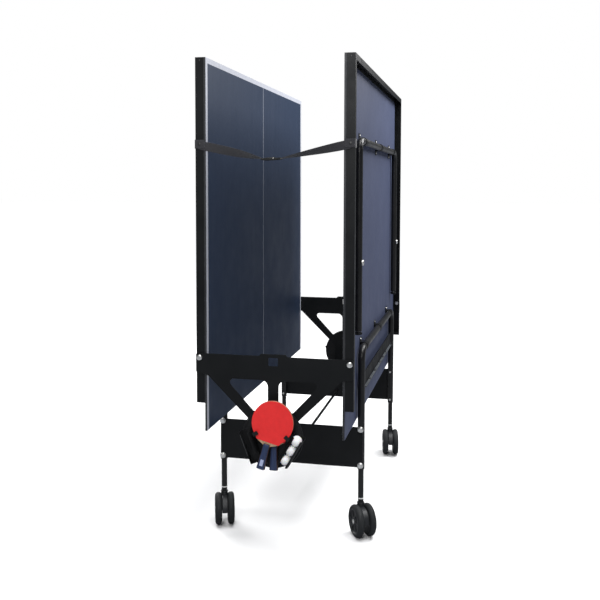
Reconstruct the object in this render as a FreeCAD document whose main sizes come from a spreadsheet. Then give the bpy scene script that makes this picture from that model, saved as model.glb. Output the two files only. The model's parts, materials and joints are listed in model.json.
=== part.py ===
"""Folding table-tennis table in its storage position, on a castor trolley.

Frame: origin on the floor at the middle of the footprint, +Z up, +X to the right half,
-Y to the front, where the bats and balls are kept. Millimetres.

Each half turns about the top tube of its trolley hoop. It stands upright for storage and
lies flat for play, and its end legs hang from it and stay vertical all the way.
"""
import FreeCAD, Part
import math
import os

doc = FreeCAD.newDocument("table_tennis_table")
V = FreeCAD.Vector

# ---------------------------------------------------------------- driving dimensions
SIZES = {
    # the regulation table and how it is stored
    "board_length": 1370, "board_width": 1525, "board_thick": 8, "play_height": 760,
    "face_half_gap": 254, "net_half_gap": 4, "pivot_drop": 26,
    # apron channels under the edges of each board
    "apron_depth": 32, "apron_width": 22.5, "sheet": 2, "apron_cutback": 105,
    # tubes of the hoops and of the end legs
    "tube_radius": 14, "tube_wall": 1.5, "bend_radius": 45, "fit_gap": 0.05,
    "hoop_half_span": 490, "hoop_end": 262, "hoop_saddle_pitch": 410,
    "leg_half_span": 580, "leg_hinge_rise": 801, "leg_saddle_pitch": 470,
    "leveller_height": 14, "leveller_radius": 15, "leveller_travel": 6, "leg_bolt_drop": 456,
    # trolley plates and rods
    "castor_leg_radius": 11, "castor_leg_foot": 130, "castor_leg_top": 400,
    "ring_height": 4, "ring_foot": 144,
    "plate_foot": 271, "plate_height": 159, "plate_half_width": 288, "plate_thick": 3,
    "plate_bolt_low": 279, "plate_bolt_high": 421, "tie_rod_radius": 6, "tie_rod_height": 300,
    "rail_foot": 570, "rail_height": 58, "rail_lip": 11, "rail_thick": 3, "rail_lip_half": 425,
    # truss plates and the round holder at their foot
    "truss_gap": 4, "truss_thick": 3, "bolt_radius": 5, "head_radius": 11, "head_height": 7,
    "hub_height": 457, "hub_radius": 113, "hub_thick": 10,
    "ball_radius": 20, "trough_clear": 0.6, "trough_wall": 1.2, "trough_length": 124,
    "trough_depth": 22, "clip_depth": 48.5,
    # castors
    "wheel_radius": 62.5, "wheel_width": 26, "wheel_gap": 24, "castor_trail": 18,
    "axle_radius": 5, "stem_radius": 6,
    # bats and strap
    "blade_radius": 76, "blade_thick": 6, "rubber_thick": 2, "handle_length": 95,
    "handle_width": 26, "handle_thick": 22, "bat_height": 522,
    "strap_thick": 2, "strap_width": 38, "strap_height": 1515, "rivet_radius": 3,
}
sheet = doc.addObject("Spreadsheet::Sheet", "Sizes")
for row, (alias, value) in enumerate(SIZES.items(), start=1):
    sheet.set("A%d" % row, alias)
    sheet.set("B%d" % row, str(value))
    sheet.setAlias("B%d" % row, alias)
doc.recompute()


def size(alias):
    """A driving dimension, read from the sheet."""
    return float(sheet.get(alias))


# expressions that several pieces share
PIVOT_X = "Sizes.face_half_gap + Sizes.pivot_drop"
PIVOT_Z = "Sizes.play_height - Sizes.pivot_drop"
BOARD_FOOT = "Sizes.play_height - Sizes.face_half_gap - 2 * Sizes.pivot_drop + Sizes.net_half_gap"
BOARD_TOP = BOARD_FOOT + " + Sizes.board_length"
UNDERSIDE = "Sizes.face_half_gap + Sizes.board_thick"
SIDE = "Sizes.board_width / 2"
LEG_HINGE_Z = PIVOT_Z + " + Sizes.leg_hinge_rise"
TRUSS_BACK = SIDE + " + Sizes.truss_gap"
TRUSS_FRONT = TRUSS_BACK + " + Sizes.truss_thick"
HUB_FRONT = TRUSS_FRONT + " + Sizes.hub_thick"
PLATE_BACK = "Sizes.hoop_half_span + Sizes.tube_radius"


def number(expression):
    """The value of an expression over the sheet, for places that take no expression."""
    return float(sheet.evalExpression(expression.replace("Sizes.", "")))


pivot_x = number(PIVOT_X)
pivot_z = number(PIVOT_Z)
nodes = {}


# ---------------------------------------------------------------- small helpers
def bind(obj, **expressions):
    """Bind an object's properties to expressions: Base_x stands for Placement.Base.x."""
    for name, expression in expressions.items():
        path = "Placement.Base." + name[-1] if name.startswith("Base_") else name
        obj.setExpression(path, str(expression))
    return obj


def box(name, x, y, z, length, width, height):
    """A block with its lowest corner at x, y, z; every argument is an expression."""
    obj = doc.addObject("Part::Box", name)
    return bind(obj, Length=length, Width=width, Height=height, Base_x=x, Base_y=y, Base_z=z)


AXIS_TURNS = {
    "z": FreeCAD.Rotation(),
    "x": FreeCAD.Rotation(V(0, 1, 0), 90),
    "y": FreeCAD.Rotation(V(1, 0, 0), -90),
    "-y": FreeCAD.Rotation(V(1, 0, 0), 90),
}


def rod(name, x, y, z, radius, length, axis="z"):
    """A cylinder that starts at x, y, z and runs along axis."""
    obj = doc.addObject("Part::Cylinder", name)
    obj.Placement.Rotation = AXIS_TURNS[axis]
    return bind(obj, Radius=radius, Height=length, Base_x=x, Base_y=y, Base_z=z)


def fuse(name, *pieces):
    obj = doc.addObject("Part::MultiFuse", name)
    obj.Shapes = list(pieces)
    obj.Refine = True
    return obj


def cut(name, base, *tools):
    obj = doc.addObject("Part::Cut", name)
    obj.Base = base
    obj.Tool = tools[0] if len(tools) == 1 else fuse(name + "_tools", *tools)
    return obj


def group(name, *pieces):
    """Several separate solids that share one node."""
    obj = doc.addObject("Part::Compound", name)
    obj.Links = list(pieces)
    return obj


def mirror(name, source, normal):
    obj = doc.addObject("Part::Mirroring", name)
    obj.Source = source
    obj.Normal = normal
    return obj


def turned(name, source, centre, degrees):
    """A copy of a piece, turned about the vertical or the Y axis through centre."""
    obj = doc.addObject("Part::Compound", name)
    obj.Links = [source]
    obj.Placement = FreeCAD.Placement(V(0, 0, 0), FreeCAD.Rotation(V(0, 1, 0), degrees), centre)
    return obj


def node(name, obj):
    """Name the node that an object becomes."""
    obj.Label = name
    nodes[name] = obj
    return obj


def both_halves(name, right):
    """A node on the right half and its mirror image on the left half."""
    node(name + "_right", right)
    node(name + "_left", mirror(name + "_mirrored", right, V(1, 0, 0)))


def front_and_rear(name, front):
    node(name + "_front", front)
    node(name + "_rear", mirror(name + "_mirrored", front, V(0, 1, 0)))


def rounded(corners):
    """Lines and arcs through (a, b, radius) corners; a radius of 0 leaves a corner sharp."""
    count = len(corners)
    ends = []
    for i, (a, b, radius) in enumerate(corners):
        here = V(a, b, 0)
        before = (V(*corners[i - 1][:2], 0) - here).normalize()
        after = (V(*corners[(i + 1) % count][:2], 0) - here).normalize()
        half = before.getAngle(after) / 2
        reach = radius / math.tan(half)
        bisector = (before + after).normalize()
        middle = here + bisector * (radius / math.sin(half) - radius)
        ends.append((here + before * reach, middle, here + after * reach))
    edges = []
    for i, (start, middle, end) in enumerate(ends):
        if corners[i][2] > 0:
            edges.append(Part.Arc(start, middle, end))
        edges.append(Part.LineSegment(end, ends[(i + 1) % count][0]))
    return edges


def body_sketch(body, role, geometry):
    """A sketch with the given geometry on one of the body's own origin planes."""
    sketch = body.newObject("Sketcher::SketchObject", body.Name + "_sketch")
    plane = [f for f in body.Origin.OriginFeatures if f.Role == role][0]
    sketch.AttachmentSupport = [(plane, "")]
    sketch.MapMode = "FlatFace"
    sketch.addGeometry(geometry, False)
    return sketch


def sheet_plate(name, outlines, thickness, back):
    """A flat plate in the XZ plane, padded from y = -back towards the front."""
    body = doc.addObject("PartDesign::Body", name)
    sketch = body_sketch(body, "XZ_Plane", [edge for outline in outlines for edge in outline])
    pad = body.newObject("PartDesign::Pad", name + "_pad")
    pad.Profile = sketch
    pad.setExpression("Length", thickness)
    return bind(body, Base_y="-(" + back + ")")


def bent_tube(name, half_span, rise, foot):
    """An upside-down U of tube in the YZ plane, standing on its two ends at height foot."""
    body = doc.addObject("PartDesign::Body", name)
    circles = []
    for radius in (size("tube_radius"), size("tube_radius") - size("tube_wall")):
        circles.append(Part.Circle(V(0, 0, 0), V(0, 0, 1), radius))
    profile = body_sketch(body, "XY_Plane", circles)
    bend = size("bend_radius")
    offset = bend * (1 - math.sqrt(0.5))
    width = 2 * number(half_span)
    height = number(rise)
    first = Part.Arc(V(0, height - bend, 0), V(offset, height - offset, 0), V(bend, height, 0))
    second = Part.Arc(V(width - bend, height, 0), V(width - offset, height - offset, 0),
                      V(width, height - bend, 0))
    path = [
        Part.LineSegment(V(0, 0, 0), V(0, height - bend, 0)),
        first,
        Part.LineSegment(V(bend, height, 0), V(width - bend, height, 0)),
        second,
        Part.LineSegment(V(width, height - bend, 0), V(width, 0, 0)),
    ]
    spine = body_sketch(body, "YZ_Plane", path)
    doc.recompute()
    pipe = body.newObject("PartDesign::AdditivePipe", name + "_pipe")
    pipe.Profile = profile
    pipe.Spine = (spine, ["Edge%d" % (i + 1) for i in range(len(path))])
    return bind(body, Base_x=PIVOT_X, Base_y="-(" + half_span + ")", Base_z=foot)


def dome_bolt(name, x, y, z, shank, axis="y"):
    """A round-headed bolt whose head stands out against axis from the face at x, y, z."""
    head_back = {"y": (x, y + " - Sizes.head_height", z), "x": (x, y, z)}[axis]
    head = rod(name + "_head", *head_back, "Sizes.head_radius", "Sizes.head_height", axis)
    dome = doc.addObject("Part::Fillet", name + "_dome")
    dome.Base = head
    doc.recompute()
    outer = (V(0, -1, 0) if axis == "y" else V(1, 0, 0))
    rim = max(range(len(head.Shape.Edges)), key=lambda i: rim_reach(head.Shape.Edges[i], outer))
    dome.Edges = [(rim + 1, 5.0, 5.0)]
    start = {"y": (x, y, z), "x": (x + " - " + shank, y, z)}[axis]
    stem = rod(name + "_shank", *start, "Sizes.bolt_radius", shank, axis)
    return fuse(name, dome, stem)


def rim_reach(edge, outer):
    """How far a closed edge lies along a direction; an open edge counts as nowhere."""
    return edge.BoundBox.Center.dot(outer) if edge.isClosed() else -math.inf


# ---------------------------------------------------------------- the two halves
def playing_board():
    board = box("board", "Sizes.face_half_gap", "-" + SIDE, BOARD_FOOT,
                "Sizes.board_thick", "Sizes.board_width", "Sizes.board_length")
    both_halves("playing_board", board)


def side_apron(name, sign):
    """A C-channel under one side edge, from the cutback to the top, bored for its pivot."""
    low = "-" + SIDE if sign < 0 else SIDE + " - Sizes.apron_width"
    hollow = "-" + SIDE + " + Sizes.sheet" if sign < 0 else SIDE + " - Sizes.apron_width - Sizes.sheet"
    foot = BOARD_FOOT + " + Sizes.apron_cutback"
    height = "Sizes.board_length - Sizes.apron_cutback"
    blank = box(name + "_blank", UNDERSIDE, low, foot,
                "Sizes.apron_depth", "Sizes.apron_width", height)
    core = box(name + "_core", UNDERSIDE + " + Sizes.sheet", hollow, foot + " - 1",
               "Sizes.apron_depth - 2 * Sizes.sheet", "Sizes.apron_width", height + " + 2")
    bore = rod(name + "_bore", PIVOT_X, ("-" + SIDE + " - 1") if sign < 0 else (SIDE + " - 9"), PIVOT_Z,
               "Sizes.bolt_radius + Sizes.fit_gap", "10", "y")
    return cut(name, blank, core, bore)


def end_apron():
    """The channel under the top edge, between the two side channels."""
    half = "(" + SIDE + " - Sizes.apron_width)"
    foot = BOARD_TOP + " - Sizes.apron_width"
    blank = box("end_blank", UNDERSIDE, "-" + half, foot,
                "Sizes.apron_depth", "2 * " + half, "Sizes.apron_width")
    core = box("end_core", UNDERSIDE + " + Sizes.sheet", "-" + half + " - 1", foot + " - Sizes.sheet",
               "Sizes.apron_depth - 2 * Sizes.sheet", "2 * " + half + " + 2", "Sizes.apron_width")
    both_halves("end_apron", cut("end_apron_channel", blank, core))


SADDLE_HALF_LENGTH = 20
SADDLE_HALF_HEIGHT = 32
SADDLE_SCREW_RISE = 24


def saddle(name, y, z):
    """A pressed clip that holds a tube to the underside and lets it turn."""
    reach = "(Sizes.tube_radius + Sizes.sheet)"
    base = box(name + "_base", UNDERSIDE, "%g - %g" % (y, SADDLE_HALF_LENGTH),
               "%s - %g" % (z, SADDLE_HALF_HEIGHT), "Sizes.sheet",
               str(2 * SADDLE_HALF_LENGTH), str(2 * SADDLE_HALF_HEIGHT))
    neck = box(name + "_neck", UNDERSIDE, "%g - %g" % (y, SADDLE_HALF_LENGTH), z + " - " + reach,
               "Sizes.pivot_drop - Sizes.board_thick", str(2 * SADDLE_HALF_LENGTH), "2 * " + reach)
    ring = rod(name + "_ring", PIVOT_X, "%g - %g" % (y, SADDLE_HALF_LENGTH), z, reach,
               str(2 * SADDLE_HALF_LENGTH), "y")
    bore = rod(name + "_bore", PIVOT_X, "%g - %g - 1" % (y, SADDLE_HALF_LENGTH), z,
               "Sizes.tube_radius + Sizes.fit_gap", str(2 * SADDLE_HALF_LENGTH + 2), "y")
    return cut(name, fuse(name + "_blank", base, neck, ring), bore)


# the rivet that the transport strap hangs and turns on, at the middle of the apron
RIVET_X = UNDERSIDE + " + Sizes.apron_depth / 2"
RIVET_Z = "Sizes.strap_height"
STRAP_BACK = SIDE + " + 2.5"
STRAP_FRONT = STRAP_BACK + " + Sizes.strap_thick"


def strap_rivet():
    """A flat-headed rivet through the strap's end into the front apron."""
    pin = rod("rivet_pin", RIVET_X, "-(" + STRAP_FRONT + " + 0.2)", RIVET_Z, "Sizes.rivet_radius",
              "Sizes.strap_thick + 2.7", "y")
    head = rod("rivet_head", RIVET_X, "-(" + STRAP_FRONT + " + 2.2)", RIVET_Z, "8", "2", "y")
    return fuse("rivet", pin, head)


def saddles_and_fixings():
    """Three saddles on the hoop's top tube and three on the end legs' crossbar, with their screws."""
    clips = []
    screws = [strap_rivet()]
    lines = [("hinge", PIVOT_Z, size("hoop_saddle_pitch")), ("leg", LEG_HINGE_Z, size("leg_saddle_pitch"))]
    for line, z, pitch in lines:
        for step in (-1, 0, 1):
            name = "%s_saddle_%d" % (line, step + 2)
            clips.append(saddle(name, step * pitch, z))
            for up in (-1, 1):
                height = "%s + %g" % (z, up * SADDLE_SCREW_RISE)
                label = "%s_screw_%d" % (name, up + 2)
                screws.append(rod(label, UNDERSIDE + " + Sizes.sheet", str(step * pitch), height,
                                  "4", "3", "x"))
    both_halves("saddles", group("saddle_set", *clips))
    both_halves("fixings", group("fixing_set", *screws))


def end_legs():
    """The bent tube frame that carries the outer end of a half, with its levelling feet.

    Screwed right in, the feet stop short of the floor by their travel when the table is open.
    """
    sole = "(Sizes.leg_hinge_rise + Sizes.leveller_travel)"
    foot = sole + " + Sizes.leveller_height"
    rise = PIVOT_Z + " - Sizes.leveller_height - Sizes.leveller_travel"
    frame = [bent_tube("end_leg_tube", "Sizes.leg_half_span", rise, foot)]
    bolts = []
    for side in (-1, 1):
        y = "%d * Sizes.leg_half_span" % side
        plug = rod("leg_plug_%d" % (side + 2), PIVOT_X, y, foot,
                   "Sizes.tube_radius - Sizes.tube_wall", "20")
        thread = rod("leg_thread_%d" % (side + 2), PIVOT_X, y, foot + " - 1",
                     "Sizes.bolt_radius + Sizes.fit_gap", "22")
        frame.append(cut("leg_end_%d" % (side + 2), plug, thread))
        bolts.append(dome_bolt("leg_bolt_%d" % (side + 2), PIVOT_X + " + Sizes.tube_radius - 1", y,
                               LEG_HINGE_Z + " - Sizes.leg_bolt_drop", "6", "x"))
        pad = rod("leveller_pad_%d" % (side + 2), PIVOT_X, y, sole,
                  "Sizes.leveller_radius", "Sizes.leveller_height - 4")
        stem = rod("leveller_stem_%d" % (side + 2), PIVOT_X, y, sole,
                   "Sizes.bolt_radius", "Sizes.leveller_height + 30")
        both_halves("leveller_" + ("front", "", "rear")[side + 1],
                    fuse("leveller_%d" % (side + 2), pad, stem))
    both_halves("end_leg_frame", group("end_leg_set", *frame))
    both_halves("leg_bolts", group("leg_bolt_set", *bolts))


def strap_band():
    """The right half's webbing: upright at its riveted end, lying flat where it meets the buckle."""
    x = number(RIVET_X)
    z = number(RIVET_Z)
    half = size("strap_width") / 2
    buckle_edge = 38
    drop = 54
    slope = drop / (x - buckle_edge)
    twist_end = 110
    twist_start = 160
    level = z - drop + slope * (twist_end - buckle_edge)
    upright = [(x + half, z + half, half - 3), (x - 6, z + half, 20), (twist_end, level + 3, 0),
               (twist_end, level - 3, 0), (x - 30, z - half - 5, 20), (x + half, z - half, half - 3)]
    plate = sheet_plate("strap_upright", [rounded(upright)], "Sizes.strap_thick", STRAP_BACK)
    rise = slope * (twist_start - buckle_edge)
    flat = [(buckle_edge, z - drop - 1, 0), (buckle_edge, z - drop + 1, 0),
            (twist_start, z - drop + rise + 1, 0), (twist_start, z - drop + rise - 1, 0)]
    strip = sheet_plate("strap_flat", [rounded(flat)], "Sizes.strap_width - 2", STRAP_BACK)
    hole = rod("strap_hole", RIVET_X, "-(" + STRAP_FRONT + " + 1)", RIVET_Z,
               "Sizes.rivet_radius + 0.1", "Sizes.strap_thick + 2", "y")
    return cut("strap_band", fuse("strap_webbing", plate, strip), hole)


def strap():
    """The transport strap: webbing riveted to each front apron, sagging to a buckle between them."""
    both_halves("strap", strap_band())
    node("strap_buckle", box("buckle_frame", "-38", "-" + SIDE + " - 39.5", "1454", "75.4", "38", "14"))


playing_board()
for apron_end, apron_sign in (("front", -1), ("rear", 1)):
    both_halves("side_apron_" + apron_end, side_apron("apron_" + apron_end, apron_sign))
end_apron()
saddles_and_fixings()
end_legs()
strap()


# ---------------------------------------------------------------- the trolley
def hoops():
    rise = PIVOT_Z + " - Sizes.hoop_end"
    both_halves("hoop", bent_tube("hoop_tube", "Sizes.hoop_half_span", rise, "Sizes.hoop_end"))


def castor_legs():
    """Four straight tubes held in the hoops' lower ends, each with a bush for the castor stem."""
    tubes = []
    bushes = []
    rings = []
    bore = "Sizes.stem_radius + Sizes.fit_gap"
    for side in (-1, 1):
        for end in (-1, 1):
            name = "castor_leg_%d%d" % (side + 2, end + 2)
            x = "%d * (%s)" % (side, PIVOT_X)
            y = "%d * Sizes.hoop_half_span" % end
            length = "Sizes.castor_leg_top - Sizes.castor_leg_foot"
            wall = rod(name, x, y, "Sizes.castor_leg_foot", "Sizes.castor_leg_radius", length)
            hollow = rod(name + "_hollow", x, y, "Sizes.castor_leg_foot - 1",
                         "Sizes.castor_leg_radius - 2", length + " + 2")
            tubes.append(cut(name + "_tube", wall, hollow))
            plug = rod(name + "_plug", x, y, "Sizes.castor_leg_foot", "Sizes.castor_leg_radius - 2", "40")
            plug_bore = rod(name + "_plug_bore", x, y, "Sizes.castor_leg_foot - 1", bore, "42")
            bushes.append(cut(name + "_bush", plug, plug_bore))
            band = rod(name + "_band", x, y, "Sizes.ring_foot", "Sizes.castor_leg_radius + 1.5",
                       "Sizes.ring_height")
            band_bore = rod(name + "_band_bore", x, y, "Sizes.ring_foot - 1", "Sizes.castor_leg_radius",
                            "Sizes.ring_height + 2")
            rings.append(cut(name + "_ring", band, band_bore))
    node("castor_legs", group("castor_leg_set", *tubes))
    node("stem_bushes", group("stem_bush_set", *bushes))
    node("leg_rings", group("leg_ring_set", *rings))


def side_rails():
    """An angle between the two legs of each hoop, with its lip turned outward."""
    half = "(Sizes.hoop_half_span - Sizes.tube_radius)"
    web = box("rail_web", PIVOT_X + " - Sizes.rail_thick / 2", "-" + half, "Sizes.rail_foot",
              "Sizes.rail_thick", "2 * " + half, "Sizes.rail_height")
    lip = box("rail_lip", PIVOT_X, "-Sizes.rail_lip_half", "Sizes.rail_foot",
              "Sizes.rail_lip", "2 * Sizes.rail_lip_half", "Sizes.rail_thick")
    both_halves("side_rail", fuse("rail", web, lip))


def cross_plates():
    """Two sheet plates across the trolley at knee height, bolted to the hoops."""
    plate = box("cross_plate", "-Sizes.plate_half_width", "-(" + PLATE_BACK + " + Sizes.plate_thick)",
                "Sizes.plate_foot", "2 * Sizes.plate_half_width", "Sizes.plate_thick",
                "Sizes.plate_height")
    front_and_rear("cross_plate", plate)
    bolts = []
    for side in (-1, 1):
        for level in ("low", "high"):
            bolts.append(dome_bolt("plate_bolt_%s_%d" % (level, side + 2), "%d * (%s)" % (side, PIVOT_X),
                                   "-(" + PLATE_BACK + " + Sizes.plate_thick)",
                                   "Sizes.plate_bolt_" + level, "36"))
    front_set = group("plate_bolt_set", *bolts)
    rear_set = mirror("plate_bolt_rear_set", front_set, V(0, 1, 0))
    node("plate_bolts", group("plate_bolt_sets", front_set, rear_set))
    node("tie_rod", rod("tie_bar", "0", "-(" + PLATE_BACK + ")", "Sizes.tie_rod_height",
                        "Sizes.tie_rod_radius", "2 * (" + PLATE_BACK + ")", "y"))


def truss_outlines():
    """The truss: a top bar with a tab, a strut and two diagonals down to the holder."""
    top = pivot_z + 16
    end = pivot_x + 14
    bar_foot = pivot_z - 56
    half = [(46, top + 8, 4), (54, top, 4), (end, top, 8), (end, bar_foot, 8), (250, bar_foot - 6, 30),
            (62, 487, 0), (62, 400, 0)]
    outline = half + [(-x, z, radius) for x, z, radius in reversed(half)]
    window_top = bar_foot - 16
    window = [(-182, window_top, 14), (-20, window_top, 24), (-20, 566, 10), (-72, 545, 8)]
    other = [(-x, z, radius) for x, z, radius in reversed(window)]
    slot = [(-18, pivot_z - 19, 3), (18, pivot_z - 19, 3), (18, pivot_z + 11, 3), (-18, pivot_z + 11, 3)]
    holes = [Part.Circle(V(side * pivot_x, pivot_z, 0), V(0, 0, 1), size("bolt_radius") + 0.2)
             for side in (-1, 1)]
    return [rounded(outline), rounded(window), rounded(other), rounded(slot), holes]


def trusses():
    plate = sheet_plate("truss_sheet", truss_outlines(), "Sizes.truss_thick", TRUSS_BACK)
    front_and_rear("truss_plate", plate)
    bolts = []
    spacers = []
    for side in (-1, 1):
        x = "%d * (%s)" % (side, PIVOT_X)
        bolt = dome_bolt("pivot_bolt_%d" % (side + 2), x, "-(" + TRUSS_FRONT + ")", PIVOT_Z, "25")
        nut = rod("pivot_nut_%d" % (side + 2), x, "-(" + SIDE + " - 5)", PIVOT_Z, "9", "7", "y")
        bolts.append(fuse("pivot_pin_%d" % (side + 2), bolt, nut))
        ring = rod("spacer_ring_%d" % (side + 2), x, "-(" + TRUSS_BACK + ")", PIVOT_Z,
                   "13", "Sizes.truss_gap - 0.4", "y")
        bore = rod("spacer_bore_%d" % (side + 2), x, "-(" + TRUSS_BACK + ") - 1", PIVOT_Z,
                   "Sizes.bolt_radius + 0.1", "Sizes.truss_gap + 2", "y")
        spacers.append(cut("spacer_%d" % (side + 2), ring, bore))
    front_set = group("pivot_bolt_set", *bolts, *spacers)
    rear_set = mirror("pivot_bolt_rear_set", front_set, V(0, 1, 0))
    node("pivot_bolts", group("pivot_bolt_sets", front_set, rear_set))


# the two ball troughs of a holder: the middle of the lowest ball and the lean from upright
TROUGHS = {"full": (55, 386, 30), "empty": (-62, 388, -21)}


def trough(name, x, z, lean):
    """A shallow open-fronted channel for three balls, closed at its lower end."""
    foot = z - size("ball_radius") - size("trough_clear")
    inner = "(Sizes.ball_radius + Sizes.trough_clear)"
    outer = "(" + inner + " + Sizes.trough_wall)"
    front = "-(" + HUB_FRONT + ") - Sizes.trough_depth"
    shell = box(name + "_shell", "%g - %s" % (x, outer), front, "%g - Sizes.trough_wall" % foot,
                "2 * " + outer, "Sizes.trough_depth", "Sizes.trough_length")
    hollow = box(name + "_hollow", "%g - %s" % (x, inner), front + " - Sizes.trough_wall", "%g" % foot,
                 "2 * " + inner, "Sizes.trough_depth", "Sizes.trough_length")
    channel = cut(name, shell, hollow)
    return turned(name + "_leaning", channel, V(x, 0, z), lean)


def holders():
    """The round moulding at the foot of each truss, its troughs and the clips for the bats."""
    disc = rod("hub_disc", "0", "-(" + HUB_FRONT + ")", "Sizes.hub_height",
               "Sizes.hub_radius", "Sizes.hub_thick", "y")
    front_and_rear("holder_hub", disc)
    channels = [trough("trough_" + kind, *place) for kind, place in TROUGHS.items()]
    front_set = group("trough_set", *channels)
    rear_set = mirror("trough_rear_set", front_set, V(0, 1, 0))
    node("ball_troughs", group("trough_sets", front_set, rear_set))


# the post of each bat clip, just outside the blades' edges, and its turn to face their middle
CLIPS = ((-56.7, 477.6, 57), (70.4, 467, -47))


def bat_clips():
    """Two hooked clips on each holder, which the bats rest in by their lower edges."""
    clips = []
    for index, (x, z, turn) in enumerate(CLIPS):
        name = "bat_clip_%d" % (index + 1)
        depth = "-(" + HUB_FRONT + ") - Sizes.clip_depth"
        post = box(name + "_post", "%g - 7" % x, depth, "%g - 3" % z, "14", "Sizes.clip_depth", "6")
        hook = box(name + "_hook", "%g - 7" % x, depth, "%g - 3" % z, "14", "3", "20")
        clips.append(turned(name + "_leaning", fuse(name, post, hook), V(x, 0, z), turn))
    front_set = group("bat_clip_set", *clips)
    rear_set = mirror("bat_clip_rear_set", front_set, V(0, 1, 0))
    node("bat_clips", group("bat_clip_sets", front_set, rear_set))


hoops()
castor_legs()
side_rails()
cross_plates()
trusses()
holders()
bat_clips()


# ---------------------------------------------------------------- castors
# name, side, end, heading of the axle from +X, and whether the wheels trail to the front
CASTORS = [
    ("front_left", -1, -1, 21, -1),
    ("front_right", 1, -1, 31, -1),
    ("rear_left", -1, 1, 31, 1),
    ("rear_right", 1, 1, 11, -1),
]


def castor(name, side, end, heading, trail_sign):
    """A twin-wheel castor: a swivelling body with its axle, and two wheels."""
    radius = "Sizes.wheel_radius"
    trail = "%d * Sizes.castor_trail" % trail_sign
    half_axle = "(Sizes.wheel_gap / 2 + Sizes.wheel_width + 3)"
    drum = rod(name + "_drum", "-10", trail, radius, "50", "20", "x")
    below = box(name + "_below", "-20", "-100", "-1", "40", "200", radius + " - 11")
    boss = rod(name + "_boss", "0", "0", radius, "11", radius + " - 1")
    stem = rod(name + "_stem", "0", "0", radius, "Sizes.stem_radius", "2 * " + radius + " - 28")
    shaft_gap = rod(name + "_shaft_gap", "-30", trail, radius, "Sizes.axle_radius", "60", "x")
    flange = rod(name + "_flange", "0", "0", "2 * " + radius, "14", "4")
    shell = fuse(name + "_shell", cut(name + "_half_drum", drum, below), boss, stem, flange)
    housing = cut(name + "_housing", shell, shaft_gap)
    axle = rod(name + "_axle", "-" + half_axle, trail, radius, "Sizes.axle_radius", "2 * " + half_axle, "x")
    wheels = []
    for inner in (-1, 1):
        start = "Sizes.wheel_gap / 2" if inner > 0 else "-Sizes.wheel_gap / 2 - Sizes.wheel_width"
        tread = rod("%s_tread_%d" % (name, inner + 2), start, trail, radius, radius, "Sizes.wheel_width", "x")
        doc.recompute()
        rims = [i + 1 for i, edge in enumerate(tread.Shape.Edges) if edge.isClosed()]
        soft = doc.addObject("Part::Fillet", "%s_round_%d" % (name, inner + 2))
        soft.Base = tread
        soft.Edges = [(rim, 9.0, 9.0) for rim in rims]
        bore = rod("%s_wheel_bore_%d" % (name, inner + 2), start + " - 1", trail, radius,
                   "Sizes.axle_radius + Sizes.fit_gap", "Sizes.wheel_width + 2", "x")
        wheels.append(cut("%s_wheel_%d" % (name, inner + 2), soft, bore))
    place = FreeCAD.Placement(V(side * pivot_x, end * size("hoop_half_span"), 0),
                              FreeCAD.Rotation(V(0, 0, 1), heading))
    pieces = {
        "castor_" + name: group(name + "_castor", housing, axle),
        "wheel_" + name + "_left": group(name + "_left_wheel", wheels[0]),
        "wheel_" + name + "_right": group(name + "_right_wheel", wheels[1]),
    }
    for label, obj in pieces.items():
        obj.Placement = place
        node(label, obj)


for castor_row in CASTORS:
    castor(*castor_row)


# ---------------------------------------------------------------- bats and balls
# name, middle of the blade along X, lean of the handle, middle of the blade in front of the hub
BATS = [("bat_1", 11, 15, 35.5), ("bat_2", 12, 1, 13)]


def bat(name, x, lean, forward):
    """A bat: a plywood blade with a rubber sheet on each side, and a two-part grip."""
    z = size("bat_height")
    half = size("blade_thick") / 2
    y = "-(" + HUB_FRONT + ") - %g" % forward
    blade = rod(name + "_disc", "%g" % x, y + " - %g" % half, "%g" % z, "Sizes.blade_radius",
                "Sizes.blade_thick", "y")
    tang = box(name + "_tang", "%g - 10" % x, y + " - %g" % half,
               "%g - Sizes.blade_radius - Sizes.handle_length" % z,
               "20", "Sizes.blade_thick", "Sizes.handle_length + 20")
    wood = fuse(name + "_wood", blade, tang)
    pieces = [wood]
    for sign in (-1, 1):
        back = " - %g - Sizes.rubber_thick" % half if sign < 0 else " + %g" % half
        rubber = rod("%s_rubber_%d" % (name, sign + 2), "%g" % x, y + back, "%g" % z,
                     "Sizes.blade_radius", "Sizes.rubber_thick", "y")
        below = box("%s_rubber_trim_%d" % (name, sign + 2), "%g - 100" % x, y + back + " - 1",
                    "%g - 171" % z, "200", "Sizes.rubber_thick + 2", "100")
        pieces.append(cut("%s_sheet_%d" % (name, sign + 2), rubber, below))
    grips = []
    for sign in (-1, 1):
        back = " - Sizes.handle_thick / 2" if sign < 0 else " + %g" % half
        grips.append(box("%s_grip_%d" % (name, sign + 2), "%g - Sizes.handle_width / 2" % x, y + back,
                         "%g - 4 - Sizes.blade_radius - Sizes.handle_length" % z,
                         "Sizes.handle_width", "Sizes.handle_thick / 2 - %g" % half,
                         "Sizes.handle_length"))
    centre = V(x, 0, z)
    node(name + "_blade", turned(name + "_blade_leaning", group(name + "_blade_set", *pieces), centre, lean))
    node(name + "_handle", turned(name + "_handle_leaning", group(name + "_grips", *grips), centre, lean))


def balls():
    """Three balls one above the other in the leaning trough."""
    x, z, lean = TROUGHS["full"]
    step = 2 * size("ball_radius") + 0.5
    for index in range(3):
        ball = doc.addObject("Part::Sphere", "ball_%d_sphere" % (index + 1))
        ball.setExpression("Radius", "Sizes.ball_radius")
        bind(ball, Base_x="%g" % (x + index * step * math.sin(math.radians(lean))),
             Base_y="-(" + HUB_FRONT + ") - Sizes.ball_radius - Sizes.trough_wall - 0.3",
             Base_z="%g" % (z + index * step * math.cos(math.radians(lean))))
        node("ball_%d" % (3 - index), ball)


for bat_row in BATS:
    bat(*bat_row)
balls()


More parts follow.
